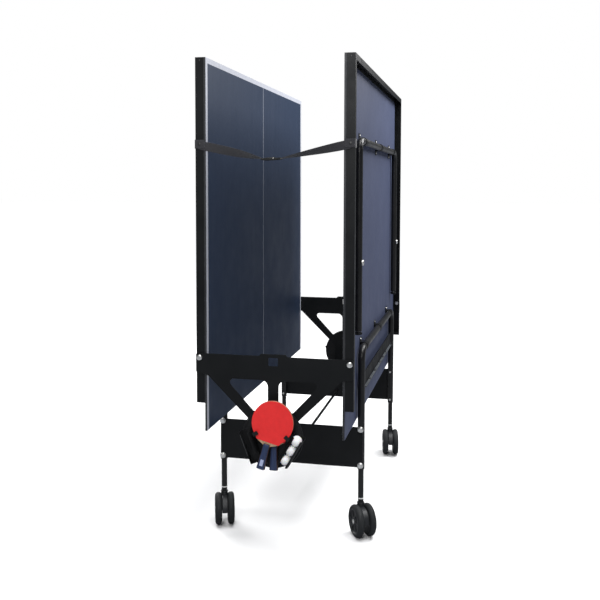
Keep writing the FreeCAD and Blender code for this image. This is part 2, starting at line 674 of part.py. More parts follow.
# ---------------------------------------------------------------- checks and files
doc.recompute()
for obj in doc.Objects:
    if "Invalid" in obj.State or "Error" in obj.State:
        raise RuntimeError("%s is %s" % (obj.Name, obj.State))
os.makedirs("parts", exist_ok=True)
whole = FreeCAD.BoundBox()
for name, obj in nodes.items():
    shape = obj.Shape
    if shape.isNull() or not shape.isValid() or not shape.Solids:
        raise RuntimeError(name + " has no valid solid")
    whole.add(shape.BoundBox)
    shape.exportStep("parts/" + name + ".step")
print("%d nodes" % len(nodes))
print("X %.2f to %.2f, Y %.2f to %.2f, Z %.2f to %.2f" % (
    whole.XMin, whole.XMax, whole.YMin, whole.YMax, whole.ZMin, whole.ZMax))
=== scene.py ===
"""Looks for the folding table-tennis table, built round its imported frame.

Metres, Z up, +X towards the right half and -Y towards the front, as in the frame. The two halves
are mirror images, so most pieces are made once for a side of +1 (right) or -1 (left).
"""
import itertools
import json
import math
import random

import bmesh
import bpy
from mathutils import Matrix, Vector


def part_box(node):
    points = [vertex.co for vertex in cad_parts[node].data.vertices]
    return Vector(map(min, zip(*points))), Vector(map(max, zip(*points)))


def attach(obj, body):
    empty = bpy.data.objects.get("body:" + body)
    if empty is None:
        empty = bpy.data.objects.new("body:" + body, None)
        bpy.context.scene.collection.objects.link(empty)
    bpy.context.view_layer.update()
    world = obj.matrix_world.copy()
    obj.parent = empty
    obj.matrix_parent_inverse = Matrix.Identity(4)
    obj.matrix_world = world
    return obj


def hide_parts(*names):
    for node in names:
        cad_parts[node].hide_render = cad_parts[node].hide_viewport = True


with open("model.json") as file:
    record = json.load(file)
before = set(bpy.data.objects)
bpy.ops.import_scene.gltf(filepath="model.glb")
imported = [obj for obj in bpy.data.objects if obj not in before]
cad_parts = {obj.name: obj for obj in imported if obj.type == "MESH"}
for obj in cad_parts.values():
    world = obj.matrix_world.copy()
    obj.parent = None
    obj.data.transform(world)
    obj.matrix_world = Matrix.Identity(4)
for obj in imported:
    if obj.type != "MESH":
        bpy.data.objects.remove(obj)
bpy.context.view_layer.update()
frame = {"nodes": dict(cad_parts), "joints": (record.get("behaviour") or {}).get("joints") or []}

MM = 0.001
SIDES = {"right": 1, "left": -1}
ENDS = {"front": -1, "rear": 1}
CORNERS = ["%s_%s" % (end, side) for end in ENDS for side in SIDES]
X_AXIS = Vector((1, 0, 0))
Y_AXIS = Vector((0, 1, 0))
Z_AXIS = Vector((0, 0, 1))
joints = {joint["name"]: joint for joint in frame["joints"]}
random.seed(11)


# ---------------------------------------------------------------- material nodes
class Tree:
    """A short way to write the nodes of one material."""

    def __init__(self, name):
        self.material = bpy.data.materials.new(name)
        self.material.use_nodes = True
        self.tree = self.material.node_tree
        self.shader = self.tree.nodes["Principled BSDF"]
        self.place = self.node("ShaderNodeTexCoord").outputs["Object"]

    def set(self, socket, value):
        """Link a socket to another one, or give it a plain value."""
        if isinstance(value, bpy.types.NodeSocket):
            self.tree.links.new(value, socket)
        else:
            socket.default_value = value

    def node(self, kind, inputs=None, **settings):
        made = self.tree.nodes.new(kind)
        for key, value in settings.items():
            setattr(made, key, value)
        for key, value in (inputs or {}).items():
            self.set(made.inputs[key], value)
        return made

    def finish(self, **inputs):
        """Set the shader's sockets by name, with _ for each space."""
        for key, value in inputs.items():
            self.set(self.shader.inputs[key.replace("_", " ")], value)
        return self.material

    def stretched(self, x, y, z):
        """The place on the object, scaled along each axis."""
        inputs = {"Vector": self.place, "Scale": (x, y, z)}
        return self.node("ShaderNodeMapping", inputs).outputs["Vector"]

    def noise(self, scale, detail=3.0, place=None):
        inputs = {"Vector": place or self.place, "Scale": scale, "Detail": detail}
        return self.node("ShaderNodeTexNoise", inputs).outputs["Fac"]

    def span(self, value, low, high, to_low=0.0, to_high=1.0):
        """A value carried from one range to another, and held at its ends."""
        inputs = {"Value": value, "From Min": low, "From Max": high, "To Min": to_low, "To Max": to_high}
        return self.node("ShaderNodeMapRange", inputs).outputs["Result"]

    def patches(self, scale, detail, low, high, to_low=0.0, to_high=1.0):
        """Noise of one scale, its part from low to high carried to another range."""
        return self.span(self.noise(scale, detail), low, high, to_low, to_high)

    def mix(self, share, first, second):
        made = self.node("ShaderNodeMix", data_type="RGBA")
        self.set(made.inputs[0], share)
        self.set(made.inputs[6], first)
        self.set(made.inputs[7], second)
        return made.outputs[2]

    def math(self, operation, first, second=0.0):
        made = self.node("ShaderNodeMath", operation=operation)
        self.set(made.inputs[0], first)
        self.set(made.inputs[1], second)
        return made.outputs[0]

    def bump(self, height, depth, normal=None, strength=1.0):
        inputs = {"Height": height, "Distance": depth, "Strength": strength}
        if normal is not None:
            inputs["Normal"] = normal
        return self.node("ShaderNodeBump", inputs).outputs["Normal"]

    def rounded_normal(self, radius):
        """A normal that reads sharp edges as if they were rounded by this radius."""
        return self.node("ShaderNodeBevel", {"Radius": radius}, samples=4).outputs["Normal"]

    def edges(self, radius):
        """1 along sharp edges and 0 on flat faces."""
        flat = self.node("ShaderNodeNewGeometry").outputs["Normal"]
        dot = self.node("ShaderNodeVectorMath", operation="DOT_PRODUCT")
        self.set(dot.inputs[0], self.rounded_normal(radius))
        self.set(dot.inputs[1], flat)
        return self.span(dot.outputs["Value"], 0.985, 0.85)


def rgb(red, green, blue):
    """An opaque colour."""
    return (red, green, blue, 1.0)


def coated(name, colour, tint, rough, grain, depth, worn=None, shine=0.5):
    """A coat or moulding: slow colour drift, fine grain, smudged gloss and, if given, worn edges."""
    t = Tree(name)
    t.finish(Specular_IOR_Level=shine)
    base = t.mix(t.patches(7, 4, 0.35, 0.65), colour, tint)
    if worn:
        spots = t.patches(55, 5, 0.47, 0.62)
        base = t.mix(t.math("MULTIPLY", t.edges(1.4 * MM), spots), base, worn)
    gloss = t.patches(18, 5, 0.3, 0.7, rough - 0.07, rough + 0.09)
    normal = t.bump(t.noise(grain, 2), depth, t.rounded_normal(0.6 * MM))
    return t.finish(Base_Color=base, Roughness=gloss, Normal=normal)


def playing_surface():
    """Matt blue coat with a fine orange-peel texture, faint roller streaks and pale ball marks."""
    t = Tree("playing_surface")
    streaks = t.noise(3, 4, t.stretched(1, 14, 1))
    base = t.mix(t.span(streaks, 0.3, 0.7), rgb(0.028, 0.046, 0.088), rgb(0.034, 0.052, 0.096))
    t.finish(Specular_IOR_Level=0.25)
    cells = t.node("ShaderNodeTexVoronoi", {"Vector": t.place, "Scale": 9.0}).outputs["Distance"]
    marks = t.math("MULTIPLY", t.span(cells, 0.14, 0.06), t.patches(60, 4, 0.5, 0.75))
    base = t.mix(t.math("MULTIPLY", marks, 0.22), base, rgb(0.14, 0.17, 0.22))
    gloss = t.patches(9, 5, 0.3, 0.7, 0.50, 0.62)
    normal = t.bump(t.noise(1400, 2), 0.05 * MM)
    return t.finish(Base_Color=base, Roughness=gloss, Normal=normal)


def line_paint():
    """Screen-printed white lines, slightly uneven and scuffed."""
    t = Tree("line_paint")
    scuffs = t.patches(35, 6, 0.55, 0.8, 0.0, 0.35)
    base = t.mix(scuffs, rgb(0.66, 0.68, 0.76), rgb(0.46, 0.49, 0.57))
    normal = t.bump(t.noise(900, 2), 0.04 * MM)
    gloss = t.patches(30, 3, 0.3, 0.7, 0.42, 0.55)
    return t.finish(Base_Color=base, Roughness=gloss, Normal=normal)


def underside_coat():
    """The plain blue-violet primer under each board."""
    t = Tree("underside_coat")
    clouds = t.patches(4, 5, 0.3, 0.7)
    base = t.mix(clouds, rgb(0.059, 0.073, 0.135), rgb(0.071, 0.086, 0.154))
    t.finish(Specular_IOR_Level=0.25)
    dust = t.patches(140, 6, 0.58, 0.78, 0.0, 0.25)
    base = t.mix(dust, base, rgb(0.20, 0.21, 0.28))
    normal = t.bump(t.noise(700, 3), 0.08 * MM)
    gloss = t.patches(11, 4, 0.3, 0.7, 0.55, 0.7)
    return t.finish(Base_Color=base, Roughness=gloss, Normal=normal)


def rail_coat(lip_top):
    """The side rails' black coat, with a patchy painted grey highlight along the lip."""
    t = Tree("rail_coat")
    height = t.node("ShaderNodeSeparateXYZ", {"Vector": t.place}).outputs["Z"]
    # painted highlight: the lip is painted grey in patches, fading out just above its top
    on_lip = t.span(height, lip_top + 1.2 * MM, lip_top + 0.2 * MM)
    painted_lip_highlight = t.math("MULTIPLY", on_lip, t.patches(40, 5, 0.25, 0.6, 0.55, 1.0))
    clouds = t.patches(7, 4, 0.35, 0.65)
    base = t.mix(clouds, rgb(0.0032, 0.0038, 0.0044), rgb(0.0050, 0.0056, 0.0064))
    base = t.mix(painted_lip_highlight, base, rgb(0.100, 0.110, 0.122))
    normal = t.bump(t.noise(1100, 2), 0.10 * MM, t.rounded_normal(0.6 * MM))
    gloss = t.patches(18, 5, 0.3, 0.7, 0.5, 0.65)
    return t.finish(Base_Color=base, Roughness=gloss, Normal=normal, Specular_IOR_Level=0.10)


def zinc():
    """Bright zinc plate with a cloudy passivated tint and fine scratches."""
    t = Tree("zinc_plate")
    clouds = t.patches(160, 4, 0.35, 0.7)
    base = t.mix(clouds, rgb(0.78, 0.79, 0.80), rgb(0.70, 0.68, 0.62))
    scratches = t.noise(900, 3, t.stretched(1, 1, 12))
    normal = t.bump(scratches, 0.03 * MM, t.rounded_normal(0.5 * MM))
    gloss = t.patches(300, 4, 0.3, 0.7, 0.24, 0.42)
    return t.finish(Base_Color=base, Roughness=gloss, Normal=normal, Metallic=1.0)


def webbing():
    """Woven polyester: ribs across the band crossed by finer warp threads, from its woven UVs."""
    t = Tree("strap_webbing")
    t.place = t.node("ShaderNodeUVMap", uv_map="Weave").outputs["UV"]
    split = t.node("ShaderNodeSeparateXYZ", {"Vector": t.place})
    along = t.math("MULTIPLY", split.outputs["X"], 2 * math.pi / (1.5 * MM))
    across = t.math("MULTIPLY", split.outputs["Y"], 2 * math.pi / (1.9 * MM))
    lean = t.math("ADD", along, t.math("MULTIPLY", t.math("SINE", across), 1.3))
    ribs = t.math("SINE", lean)
    threads = t.math("SINE", t.math("MULTIPLY", across, 2.0))
    height = t.math("ADD", t.math("MULTIPLY", ribs, 0.6), t.math("MULTIPLY", threads, 0.4))
    weave = t.span(height, -1.0, 1.0)
    base = t.mix(weave, rgb(0.006, 0.006, 0.008), rgb(0.034, 0.033, 0.040))
    fuzz = t.patches(350, 5, 0.5, 0.8, 0.0, 0.3)
    base = t.mix(fuzz, base, rgb(0.07, 0.07, 0.08))
    normal = t.bump(weave, 0.35 * MM)
    t.finish(Sheen_Weight=0.35, Sheen_Roughness=0.45)
    return t.finish(Base_Color=base, Roughness=0.78, Normal=normal)


def rubber(name, colour, tint):
    """The smooth topsheet of a bat, with the faint print of its pimples underneath."""
    t = Tree(name)
    flat = t.stretched(1, 0, 1)
    dots = t.node("ShaderNodeTexVoronoi", {"Vector": flat, "Scale": 480.0, "Randomness": 0.15})
    print_height = t.span(dots.outputs["Distance"], 0.2, 0.5)
    base = t.mix(t.patches(45, 5, 0.35, 0.7), colour, tint)
    normal = t.bump(print_height, 0.05 * MM)
    gloss = t.patches(60, 4, 0.3, 0.7, 0.46, 0.60)
    return t.finish(Base_Color=base, Roughness=gloss, Normal=normal)


def wood(name, pale, dark, across=(90, 90, 6)):
    """Veneer with its grain along the bat and fine pores."""
    t = Tree(name)
    long_grain = t.noise(3.2, 6, t.stretched(*across))
    pores = t.span(t.noise(18, 4, t.stretched(*(value * 1.6 for value in across))), 0.58, 0.72)
    base = t.mix(t.span(long_grain, 0.32, 0.68), pale, dark)
    base = t.mix(t.math("MULTIPLY", pores, 0.4), base, dark)
    normal = t.bump(long_grain, 0.08 * MM)
    gloss = t.span(long_grain, 0.3, 0.7, 0.42, 0.58)
    return t.finish(Base_Color=base, Roughness=gloss, Normal=normal)


def celluloid():
    """Matt white ball plastic with a faint frosted grain."""
    t = Tree("ball_plastic")
    base = t.mix(t.patches(80, 4, 0.35, 0.7), rgb(0.93, 0.93, 0.94), rgb(0.88, 0.88, 0.88))
    normal = t.bump(t.noise(2500, 2), 0.02 * MM)
    t.finish(Subsurface_Weight=0.12, Subsurface_Scale=0.004)
    gloss = t.patches(200, 3, 0.3, 0.7, 0.38, 0.5)
    return t.finish(Base_Color=base, Roughness=gloss, Normal=normal)


def floor_paint():
    """A pale floor that throws back less light than it shows, so that dark metal stays dark."""
    t = Tree("studio_floor")
    base = t.mix(t.noise(1.2, 4), rgb(0.95, 0.95, 0.96), rgb(0.97, 0.97, 0.97))
    shown = t.node("ShaderNodeLightPath").outputs["Is Camera Ray"]
    base = t.mix(shown, rgb(0.30, 0.31, 0.33), base)
    return t.finish(Base_Color=base, Roughness=0.9, Specular_IOR_Level=0.0)


# height of the top of the side rails' lip, which is 3 mm thick
LIP_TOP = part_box("side_rail_right")[0].z + 3 * MM
MATERIALS = {
    "rail": rail_coat(LIP_TOP),
    "play": playing_surface(),
    "line": line_paint(),
    "underside": underside_coat(),
    "board_edge": coated("board_edge_band", rgb(0.012, 0.013, 0.016), rgb(0.02, 0.021, 0.024),
                         0.5, 700, 0.05 * MM, rgb(0.09, 0.09, 0.10)),
    "steel": coated("black_powder_coat", rgb(0.0050, 0.0058, 0.0066), rgb(0.0075, 0.0083, 0.0092),
                    0.42, 1100, 0.10 * MM, rgb(0.045, 0.047, 0.052), 0.18),
    "tube": coated("black_tube_coat", rgb(0.0065, 0.0068, 0.0075), rgb(0.0110, 0.0105, 0.0105),
                   0.33, 900, 0.06 * MM, rgb(0.05, 0.047, 0.045), 0.40),
    "zinc": zinc(),
    "plastic": coated("black_moulding", rgb(0.0055, 0.0060, 0.0066), rgb(0.0085, 0.0090, 0.0100),
                      0.48, 1600, 0.09 * MM, rgb(0.04, 0.04, 0.045), 0.25),
    "dark_steel": coated("black_oxide", rgb(0.0100, 0.0100, 0.0110), rgb(0.0170, 0.0160, 0.0160),
                         0.38, 900, 0.05 * MM, rgb(0.08, 0.08, 0.085)),
    "white_plastic": coated("white_moulding", rgb(0.80, 0.81, 0.80), rgb(0.72, 0.73, 0.72),
                            0.45, 1200, 0.05 * MM),
    "castor": coated("castor_moulding", rgb(0.012, 0.0135, 0.0155), rgb(0.020, 0.0215, 0.024),
                     0.42, 1300, 0.10 * MM, rgb(0.06, 0.062, 0.066), 0.35),
    "tyre": coated("castor_rubber", rgb(0.010, 0.0115, 0.0125), rgb(0.022, 0.024, 0.026),
                   0.66, 500, 0.22 * MM, rgb(0.07, 0.07, 0.072), 0.3),
    "webbing": webbing(),
    "thread": coated("stitching_thread", rgb(0.045, 0.045, 0.052), rgb(0.085, 0.085, 0.095),
                     0.7, 2500, 0.08 * MM),
    "red_rubber": rubber("red_rubber", rgb(0.880, 0.022, 0.022), rgb(0.810, 0.018, 0.018)),
    "black_rubber": rubber("black_rubber", rgb(0.014, 0.014, 0.015), rgb(0.028, 0.028, 0.030)),
    "sponge": coated("rubber_sponge", rgb(0.36, 0.030, 0.024), rgb(0.30, 0.024, 0.020),
                     0.8, 1800, 0.2 * MM),
    "bat_wood": wood("bat_plywood", rgb(0.60, 0.42, 0.26), rgb(0.42, 0.27, 0.15)),
    "grip_blue": wood("blue_lacquer", rgb(0.020, 0.040, 0.112), rgb(0.012, 0.024, 0.070)),
    "grip_brown": wood("brown_veneer", rgb(0.085, 0.038, 0.024), rgb(0.045, 0.020, 0.014)),
    "label": coated("blank_label", rgb(0.50, 0.56, 0.78), rgb(0.42, 0.48, 0.70),
                    0.35, 1500, 0.02 * MM),
    "ball": celluloid(),
    "floor": floor_paint(),
}


# ---------------------------------------------------------------- mesh helpers
def link(obj):
    """Put an object in the scene."""
    bpy.context.scene.collection.objects.link(obj)
    return obj


def box_and_middle(node):
    """The lowest, highest and middle points of a CAD node's box."""
    low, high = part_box(node)
    return low, high, (low + high) / 2


def piece(name, mesh, looks, body, replaces=(), flat=False):
    """Turn a bmesh into a named piece with its materials, riding on a body."""
    data = bpy.data.meshes.new(name)
    bmesh.ops.recalc_face_normals(mesh, faces=mesh.faces)
    mesh.to_mesh(data)
    mesh.free()
    obj = link(bpy.data.objects.new(name, data))
    for look in looks:
        data.materials.append(MATERIALS[look])
    for polygon in data.polygons:
        polygon.use_smooth = not flat
    data.set_sharp_from_angle(angle=math.radians(38))
    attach(obj, body)
    if replaces:
        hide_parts(*replaces)
    return obj


def soften(obj, width, segments=2, angle=35):
    """Round the edges of a piece that are sharper than this angle."""
    bevel = obj.modifiers.new("rounded_edges", "BEVEL")
    bevel.width = width
    bevel.segments = segments
    bevel.limit_method = "ANGLE"
    bevel.angle_limit = math.radians(angle)


def paint_faces(faces, index):
    """Give faces one of their piece's materials."""
    for face in faces:
        face.material_index = index


def add_block(mesh, low, high, index=0, matrix=None):
    """A box between two corners, or between them in a placed frame."""
    low = Vector(low)
    high = Vector(high)
    size = high - low
    place = Matrix.Translation((low + high) / 2) @ Matrix.Diagonal((*size, 1.0))
    made = bmesh.ops.create_cube(mesh, size=1.0, matrix=(matrix or Matrix()) @ place)
    faces = {face for vertex in made["verts"] for face in vertex.link_faces}
    paint_faces(faces, index)


def circle(radius, steps):
    """Points round a circle."""
    turns = [2 * math.pi * step / steps for step in range(steps)]
    return [(radius * math.cos(turn), radius * math.sin(turn)) for turn in turns]


def add_loop(mesh, points, height, matrix):
    """New vertices at (a, b) points, all at one local height."""
    return [mesh.verts.new(matrix @ Vector((a, b, height))) for a, b in points]


def add_band(mesh, first, second):
    """The faces between two closed loops of the same count."""
    faces = []
    for step in range(len(first)):
        after = (step + 1) % len(first)
        faces.append(mesh.faces.new([first[step], first[after], second[after], second[step]]))
    return faces


def add_lathe(mesh, profile, matrix, steps=48, index=0):
    """Turn (height, radius) points about the local Z axis; a radius of 0 closes on the axis."""
    rings = []
    for height, radius in profile:
        points = circle(radius, steps) if radius > 0 else [(0, 0)]
        rings.append(add_loop(mesh, points, height, matrix))
    faces = []
    for first, second in zip(rings, rings[1:]):
        for step in range(steps):
            after = (step + 1) % steps
            corners = [first[step % len(first)], first[after % len(first)],
                       second[after % len(second)], second[step % len(second)]]
            faces.append(mesh.faces.new(list(dict.fromkeys(corners))))
    paint_faces(faces, index)


def add_prism(mesh, outline, low, high, matrix, index=0):
    """Extrude a closed outline of (a, b) points from local height low to high."""
    bottom = add_loop(mesh, outline, low, matrix)
    top = add_loop(mesh, outline, high, matrix)
    faces = [mesh.faces.new(bottom[::-1]), mesh.faces.new(top)] + add_band(mesh, bottom, top)
    paint_faces(faces, index)


def arc(centre_a, centre_b, radius, start, end, steps):
    """Points along an arc, angles in degrees."""
    points = []
    for step in range(steps + 1):
        angle = math.radians(start + (end - start) * step / steps)
        points.append((centre_a + radius * math.cos(angle), centre_b + radius * math.sin(angle)))
    return points


def facing(origin, direction, up=Z_AXIS):
    """A frame at origin whose local Z points along direction and whose local Y leans towards up."""
    z = Vector(direction).normalized()
    x = Vector(up).cross(z)
    if x.length < 1e-6:
        x = X_AXIS.copy()
    x.normalize()
    y = z.cross(x)
    turn = Matrix((x, y, z)).transposed().to_4x4()
    return Matrix.Translation(origin) @ turn


def islands(node):
    """The (lowest, highest) corners of each separate solid in a CAD node, in a fixed order."""
    mesh = bmesh.new()
    mesh.from_mesh(frame["nodes"][node].data)
    bmesh.ops.remove_doubles(mesh, verts=mesh.verts, dist=0.005 * MM)
    seen = set()
    boxes = []
    for start in mesh.verts:
        if start in seen:
            continue
        seen.add(start)
        todo = [start]
        found = []
        while todo:
            vertex = todo.pop()
            found.append(vertex.co.copy())
            for edge in vertex.link_edges:
                other = edge.other_vert(vertex)
                if other not in seen:
                    seen.add(other)
                    todo.append(other)
        boxes.append((Vector(map(min, zip(*found))), Vector(map(max, zip(*found)))))
    mesh.free()
    return sorted(boxes, key=lambda box: tuple(round(value, 5) for value in (*box[0], *box[1])))


def dress(node, look):
    """Give a kept CAD node its material."""
    obj = frame["nodes"][node]
    obj.data.materials.clear()
    obj.data.materials.append(MATERIALS[look])
    for polygon in obj.data.polygons:
        polygon.material_index = 0


# ---------------------------------------------------------------- small fixings
def random_turn():
    """A turn about local Z, as screws stop at any angle."""
    return Matrix.Rotation(random.uniform(0, math.pi / 2), 4, "Z")


def add_pan_screw(mesh, matrix, radius, height, index=0):
    """A domed screw head with a cross recess; local Z points out of the surface."""
    steps = 24
    flat = radius * 0.62
    shoulder = [(0, radius), (height * 0.35, radius), (height * 0.72, radius * 0.9),
                (height * 0.93, radius * 0.76), (height, flat)]
    add_lathe(mesh, shoulder, matrix, steps, index)
    arm = radius * 0.48
    slot = radius * 0.13
    cross = [(arm, -slot), (arm, slot), (slot, slot), (slot, arm), (-slot, arm), (-slot, slot),
             (-arm, slot), (-arm, -slot), (-slot, -slot), (-slot, -arm), (slot, -arm), (slot, -slot)]
    rim = add_loop(mesh, circle(flat, steps), height, matrix)
    lip = add_loop(mesh, cross, height, matrix)
    pit = add_loop(mesh, [(a * 0.7, b * 0.7) for a, b in cross], height * 0.25, matrix)
    edges = []
    for loop in (rim, lip):
        for step, vertex in enumerate(loop):
            edges.append(mesh.edges.new((vertex, loop[(step + 1) % len(loop)])))
    top = bmesh.ops.triangle_fill(mesh, edges=edges, use_beauty=True)
    faces = [item for item in top["geom"] if isinstance(item, bmesh.types.BMFace)]
    inside = [face for face in faces if all(vertex in lip for vertex in face.verts)
              and face_in_cross(face, matrix, arm, slot)]
    bmesh.ops.delete(mesh, geom=inside, context="FACES_ONLY")
    faces = [face for face in faces if face.is_valid] + add_band(mesh, lip, pit)
    faces.append(mesh.faces.new(pit))
    paint_faces(faces, index)


def face_in_cross(face, matrix, arm, slot):
    """True if a face's middle lies inside the cross recess."""
    middle = matrix.inverted() @ face.calc_center_median()
    a = abs(middle.x)
    b = abs(middle.y)
    return (a < arm and b < slot) or (b < arm and a < slot)


def add_washer(mesh, matrix, inner, outer, thick, index=0):
    """A flat ring that lies on a surface round a bolt head."""
    edge = 0.25 * MM
    profile = [(0, inner), (thick - edge, inner), (thick, inner + edge), (thick, outer - edge),
               (thick - edge, outer), (0, outer), (0, inner)]
    add_lathe(mesh, profile, matrix, 40, index)


def add_dome_head(mesh, matrix, radius, height, index=0):
    """The head of a coach bolt, as a low dome on a short rim."""
    rim = height * 0.22
    dome = [(rim + (height - rim) * b, radius * a) for a, b in arc(0, 0, 1, 11.25, 78.75, 6)]
    add_lathe(mesh, [(0, radius), (rim, radius)] + dome + [(height, 0)], matrix, 40, index)


# ---------------------------------------------------------------- boards
LINE_WIDTH = 20 * MM
CENTRE_LINE = 3 * MM


def board(side_name, side):
    """A thin board with its lines as faces of their own, cut into the playing face."""
    node = "playing_board_" + side_name
    low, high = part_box(node)
    mesh = bmesh.new()
    add_block(mesh, low, high, 3)
    cuts = [(Y_AXIS, low.y + LINE_WIDTH), (Y_AXIS, high.y - LINE_WIDTH), (Y_AXIS, -CENTRE_LINE / 2),
            (Y_AXIS, CENTRE_LINE / 2), (Z_AXIS, high.z - LINE_WIDTH)]
    for axis, distance in cuts:
        bmesh.ops.bisect_plane(mesh, geom=mesh.verts[:] + mesh.edges[:] + mesh.faces[:],
                               plane_co=axis * distance, plane_no=axis)
    for face in mesh.faces:
        face.normal_update()
        middle = face.calc_center_median()
        if face.normal.x * side < -0.9:
            near_edge = max(abs(middle.y) - (high.y - LINE_WIDTH), middle.z - (high.z - LINE_WIDTH))
            lined = near_edge > 0 or abs(middle.y) < CENTRE_LINE / 2
            face.material_index = 1 if lined else 0
        elif face.normal.x * side > 0.9:
            face.material_index = 2
    made = piece("board_" + side_name, mesh, ["play", "line", "underside", "board_edge"],
                 "half_" + side_name, [node])
    soften(made, 0.5 * MM, 2, 60)


# ---------------------------------------------------------------- aprons, saddles and their fixings
TOP_SCREW_PITCH = 240 * MM


def add_strap_rivet(mesh, low, high, index):
    """A dark rivet along Y between two corners: shank, washer and domed head at the front."""
    base = Vector(((low.x + high.x) / 2, high.y, (low.z + high.z) / 2))
    length = high.y - low.y
    shank = 3 * MM
    add_lathe(mesh, [(0, shank), (length - 2 * MM, shank)], facing(base, -Y_AXIS), 24, index)
    washer = facing(base - Y_AXIS * (length - 2.1 * MM), -Y_AXIS)
    add_washer(mesh, washer, shank, 8 * MM, 0.8 * MM, index)
    head = facing(base - Y_AXIS * (length - 1.4 * MM), -Y_AXIS)
    add_dome_head(mesh, head, 5.6 * MM, 1.6 * MM, index)


def fixings(side_name, side):
    """Screws of the saddles, and the rivet that the strap hangs on, in place of the CAD ones."""
    node = "fixings_" + side_name
    on_front_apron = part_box("side_apron_front_" + side_name)[1].y
    mesh = bmesh.new()
    for low, high in islands(node):
        if low.y < on_front_apron:
            add_strap_rivet(mesh, low, high, 1)
            continue
        middle = (low + high) / 2
        base = Vector((low.x if side > 0 else high.x, middle.y, middle.z))
        add_pan_screw(mesh, facing(base, X_AXIS * side) @ random_turn(), 4.4 * MM, 2.8 * MM)
    piece("fixings_%s_detail" % side_name, mesh, ["zinc", "dark_steel"], "half_" + side_name,
          [node])


def apron_screws(side_name):
    """Small screws through the top of the end apron and through the corners of the side aprons."""
    low, high, middle = box_and_middle("end_apron_" + side_name)
    from_end = 25 * MM
    from_top = 12 * MM
    count = int((high.y - low.y) / TOP_SCREW_PITCH)
    places = []
    for step in range(count + 1):
        y = low.y + from_end + (high.y - low.y - 2 * from_end) * step / count
        places.append(facing((middle.x, y, high.z), Z_AXIS, Y_AXIS))
    for end_name, end in ENDS.items():
        side_low, side_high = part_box("side_apron_%s_%s" % (end_name, side_name))
        face_y = side_low.y if end < 0 else side_high.y
        places.append(facing((middle.x, face_y, high.z - from_top), Y_AXIS * end))
    mesh = bmesh.new()
    for place in places:
        add_pan_screw(mesh, place @ random_turn(), 3.4 * MM, 1.4 * MM)
    piece("apron_screws_" + side_name, mesh, ["dark_steel"], "half_" + side_name)


def apron_plugs(side_name):
    """Moulded plugs that close the ends of the side aprons' channels."""
    sheet = 2 * MM
    sunk = 0.3 * MM
    deep = 14 * MM
    mesh = bmesh.new()
    for end_name, end in ENDS.items():
        low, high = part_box("side_apron_%s_%s" % (end_name, side_name))
        near = low.y + sheet if end < 0 else low.y
        far = high.y if end < 0 else high.y - sheet
        for bottom, top in ((high.z - deep, high.z - sunk), (low.z + sunk, low.z + deep)):
            add_block(mesh, (low.x + sheet, near, bottom), (high.x - sheet, far, top))
    made = piece("apron_plugs_" + side_name, mesh, ["plastic"], "half_" + side_name)
    soften(made, 0.8 * MM)


# ---------------------------------------------------------------- bolts and washers
def bolt_washers():
    """Thin washers under the heads of the plate bolts."""
    longest_nut = 20 * MM
    head_height = 7 * MM
    mesh = bmesh.new()
    for low, high in islands("plate_bolts"):
        if high.y - low.y < longest_nut:
            continue
        middle = (low + high) / 2
        end = -1 if middle.y < 0 else 1
        face_y = low.y + head_height if end < 0 else high.y - head_height
        place = facing((middle.x, face_y, middle.z), Y_AXIS * end)
        add_washer(mesh, place, 10.9 * MM, 12.0 * MM, 1.0 * MM)
    piece("bolt_washers", mesh, ["zinc"], "trolley")


RAIL_SCREWS_Y = (-299 * MM, -148 * MM, 17 * MM, 127 * MM, 237 * MM)


def rail_screws():
    """Dark screws and the flat tabs under them, along the lip of each side rail."""
    tab = Vector((4 * MM, 7 * MM, 0))
    tab_top = Vector((0, 0, 1.2 * MM))
    for side_name, side in SIDES.items():
        low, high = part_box("side_rail_" + side_name)
        outer = high.x if side > 0 else low.x
        mesh = bmesh.new()
        for y in RAIL_SCREWS_Y:
            spot = Vector((outer - side * 4.8 * MM, y, LIP_TOP))
            add_block(mesh, spot - tab, spot + tab + tab_top)
            place = facing(spot + tab_top, Z_AXIS, Y_AXIS) @ random_turn()
            add_pan_screw(mesh, place, 3.4 * MM, 2.4 * MM)
        piece("rail_screws_" + side_name, mesh, ["dark_steel"], "trolley")


def levellers():
    """The four levelling feet: a ribbed plastic pad on a threaded zinc stem."""
    ribs = 30
    pad_top = 10 * MM
    crest = 5 * MM
    root = 4.4 * MM
    pitch = 1.25 * MM
    outline = []
    for step, (a, b) in enumerate(circle(1, ribs * 4)):
        radius = 14.6 * MM + 0.4 * MM * math.cos(math.pi / 2 * step)
        outline.append((radius * a, radius * b))
    for corner in CORNERS:
        node = "leveller_" + corner
        low, high, middle = box_and_middle(node)
        length = high.z - low.z
        place = Matrix.Translation((middle.x, middle.y, low.z))
        mesh = bmesh.new()
        add_prism(mesh, outline, 2 * MM, 9 * MM, place)
        add_lathe(mesh, [(0, 0), (0, 11 * MM), (0.6 * MM, 12.6 * MM), (2 * MM, 13.4 * MM)], place)
        add_lathe(mesh, [(9 * MM, 13.6 * MM), (pad_top, 12.6 * MM), (pad_top, crest)], place)
        thread = [(pad_top, crest)]
        for turn in range(int((length - pad_top) / pitch)):
            height = pad_top + turn * pitch
            thread += [(height + 0.3 * pitch, root), (height + 0.8 * pitch, crest)]
        add_lathe(mesh, thread + [(length, root), (length, 0)], place, 24, 1)
        piece("leveller_%s_foot" % corner, mesh, ["plastic", "zinc"], node, [node])


# ---------------------------------------------------------------- the transport strap
STRAP_WIDTH = 32 * MM
STRAP_THICK = 1.6 * MM
TAB_THICK = 1.2 * MM


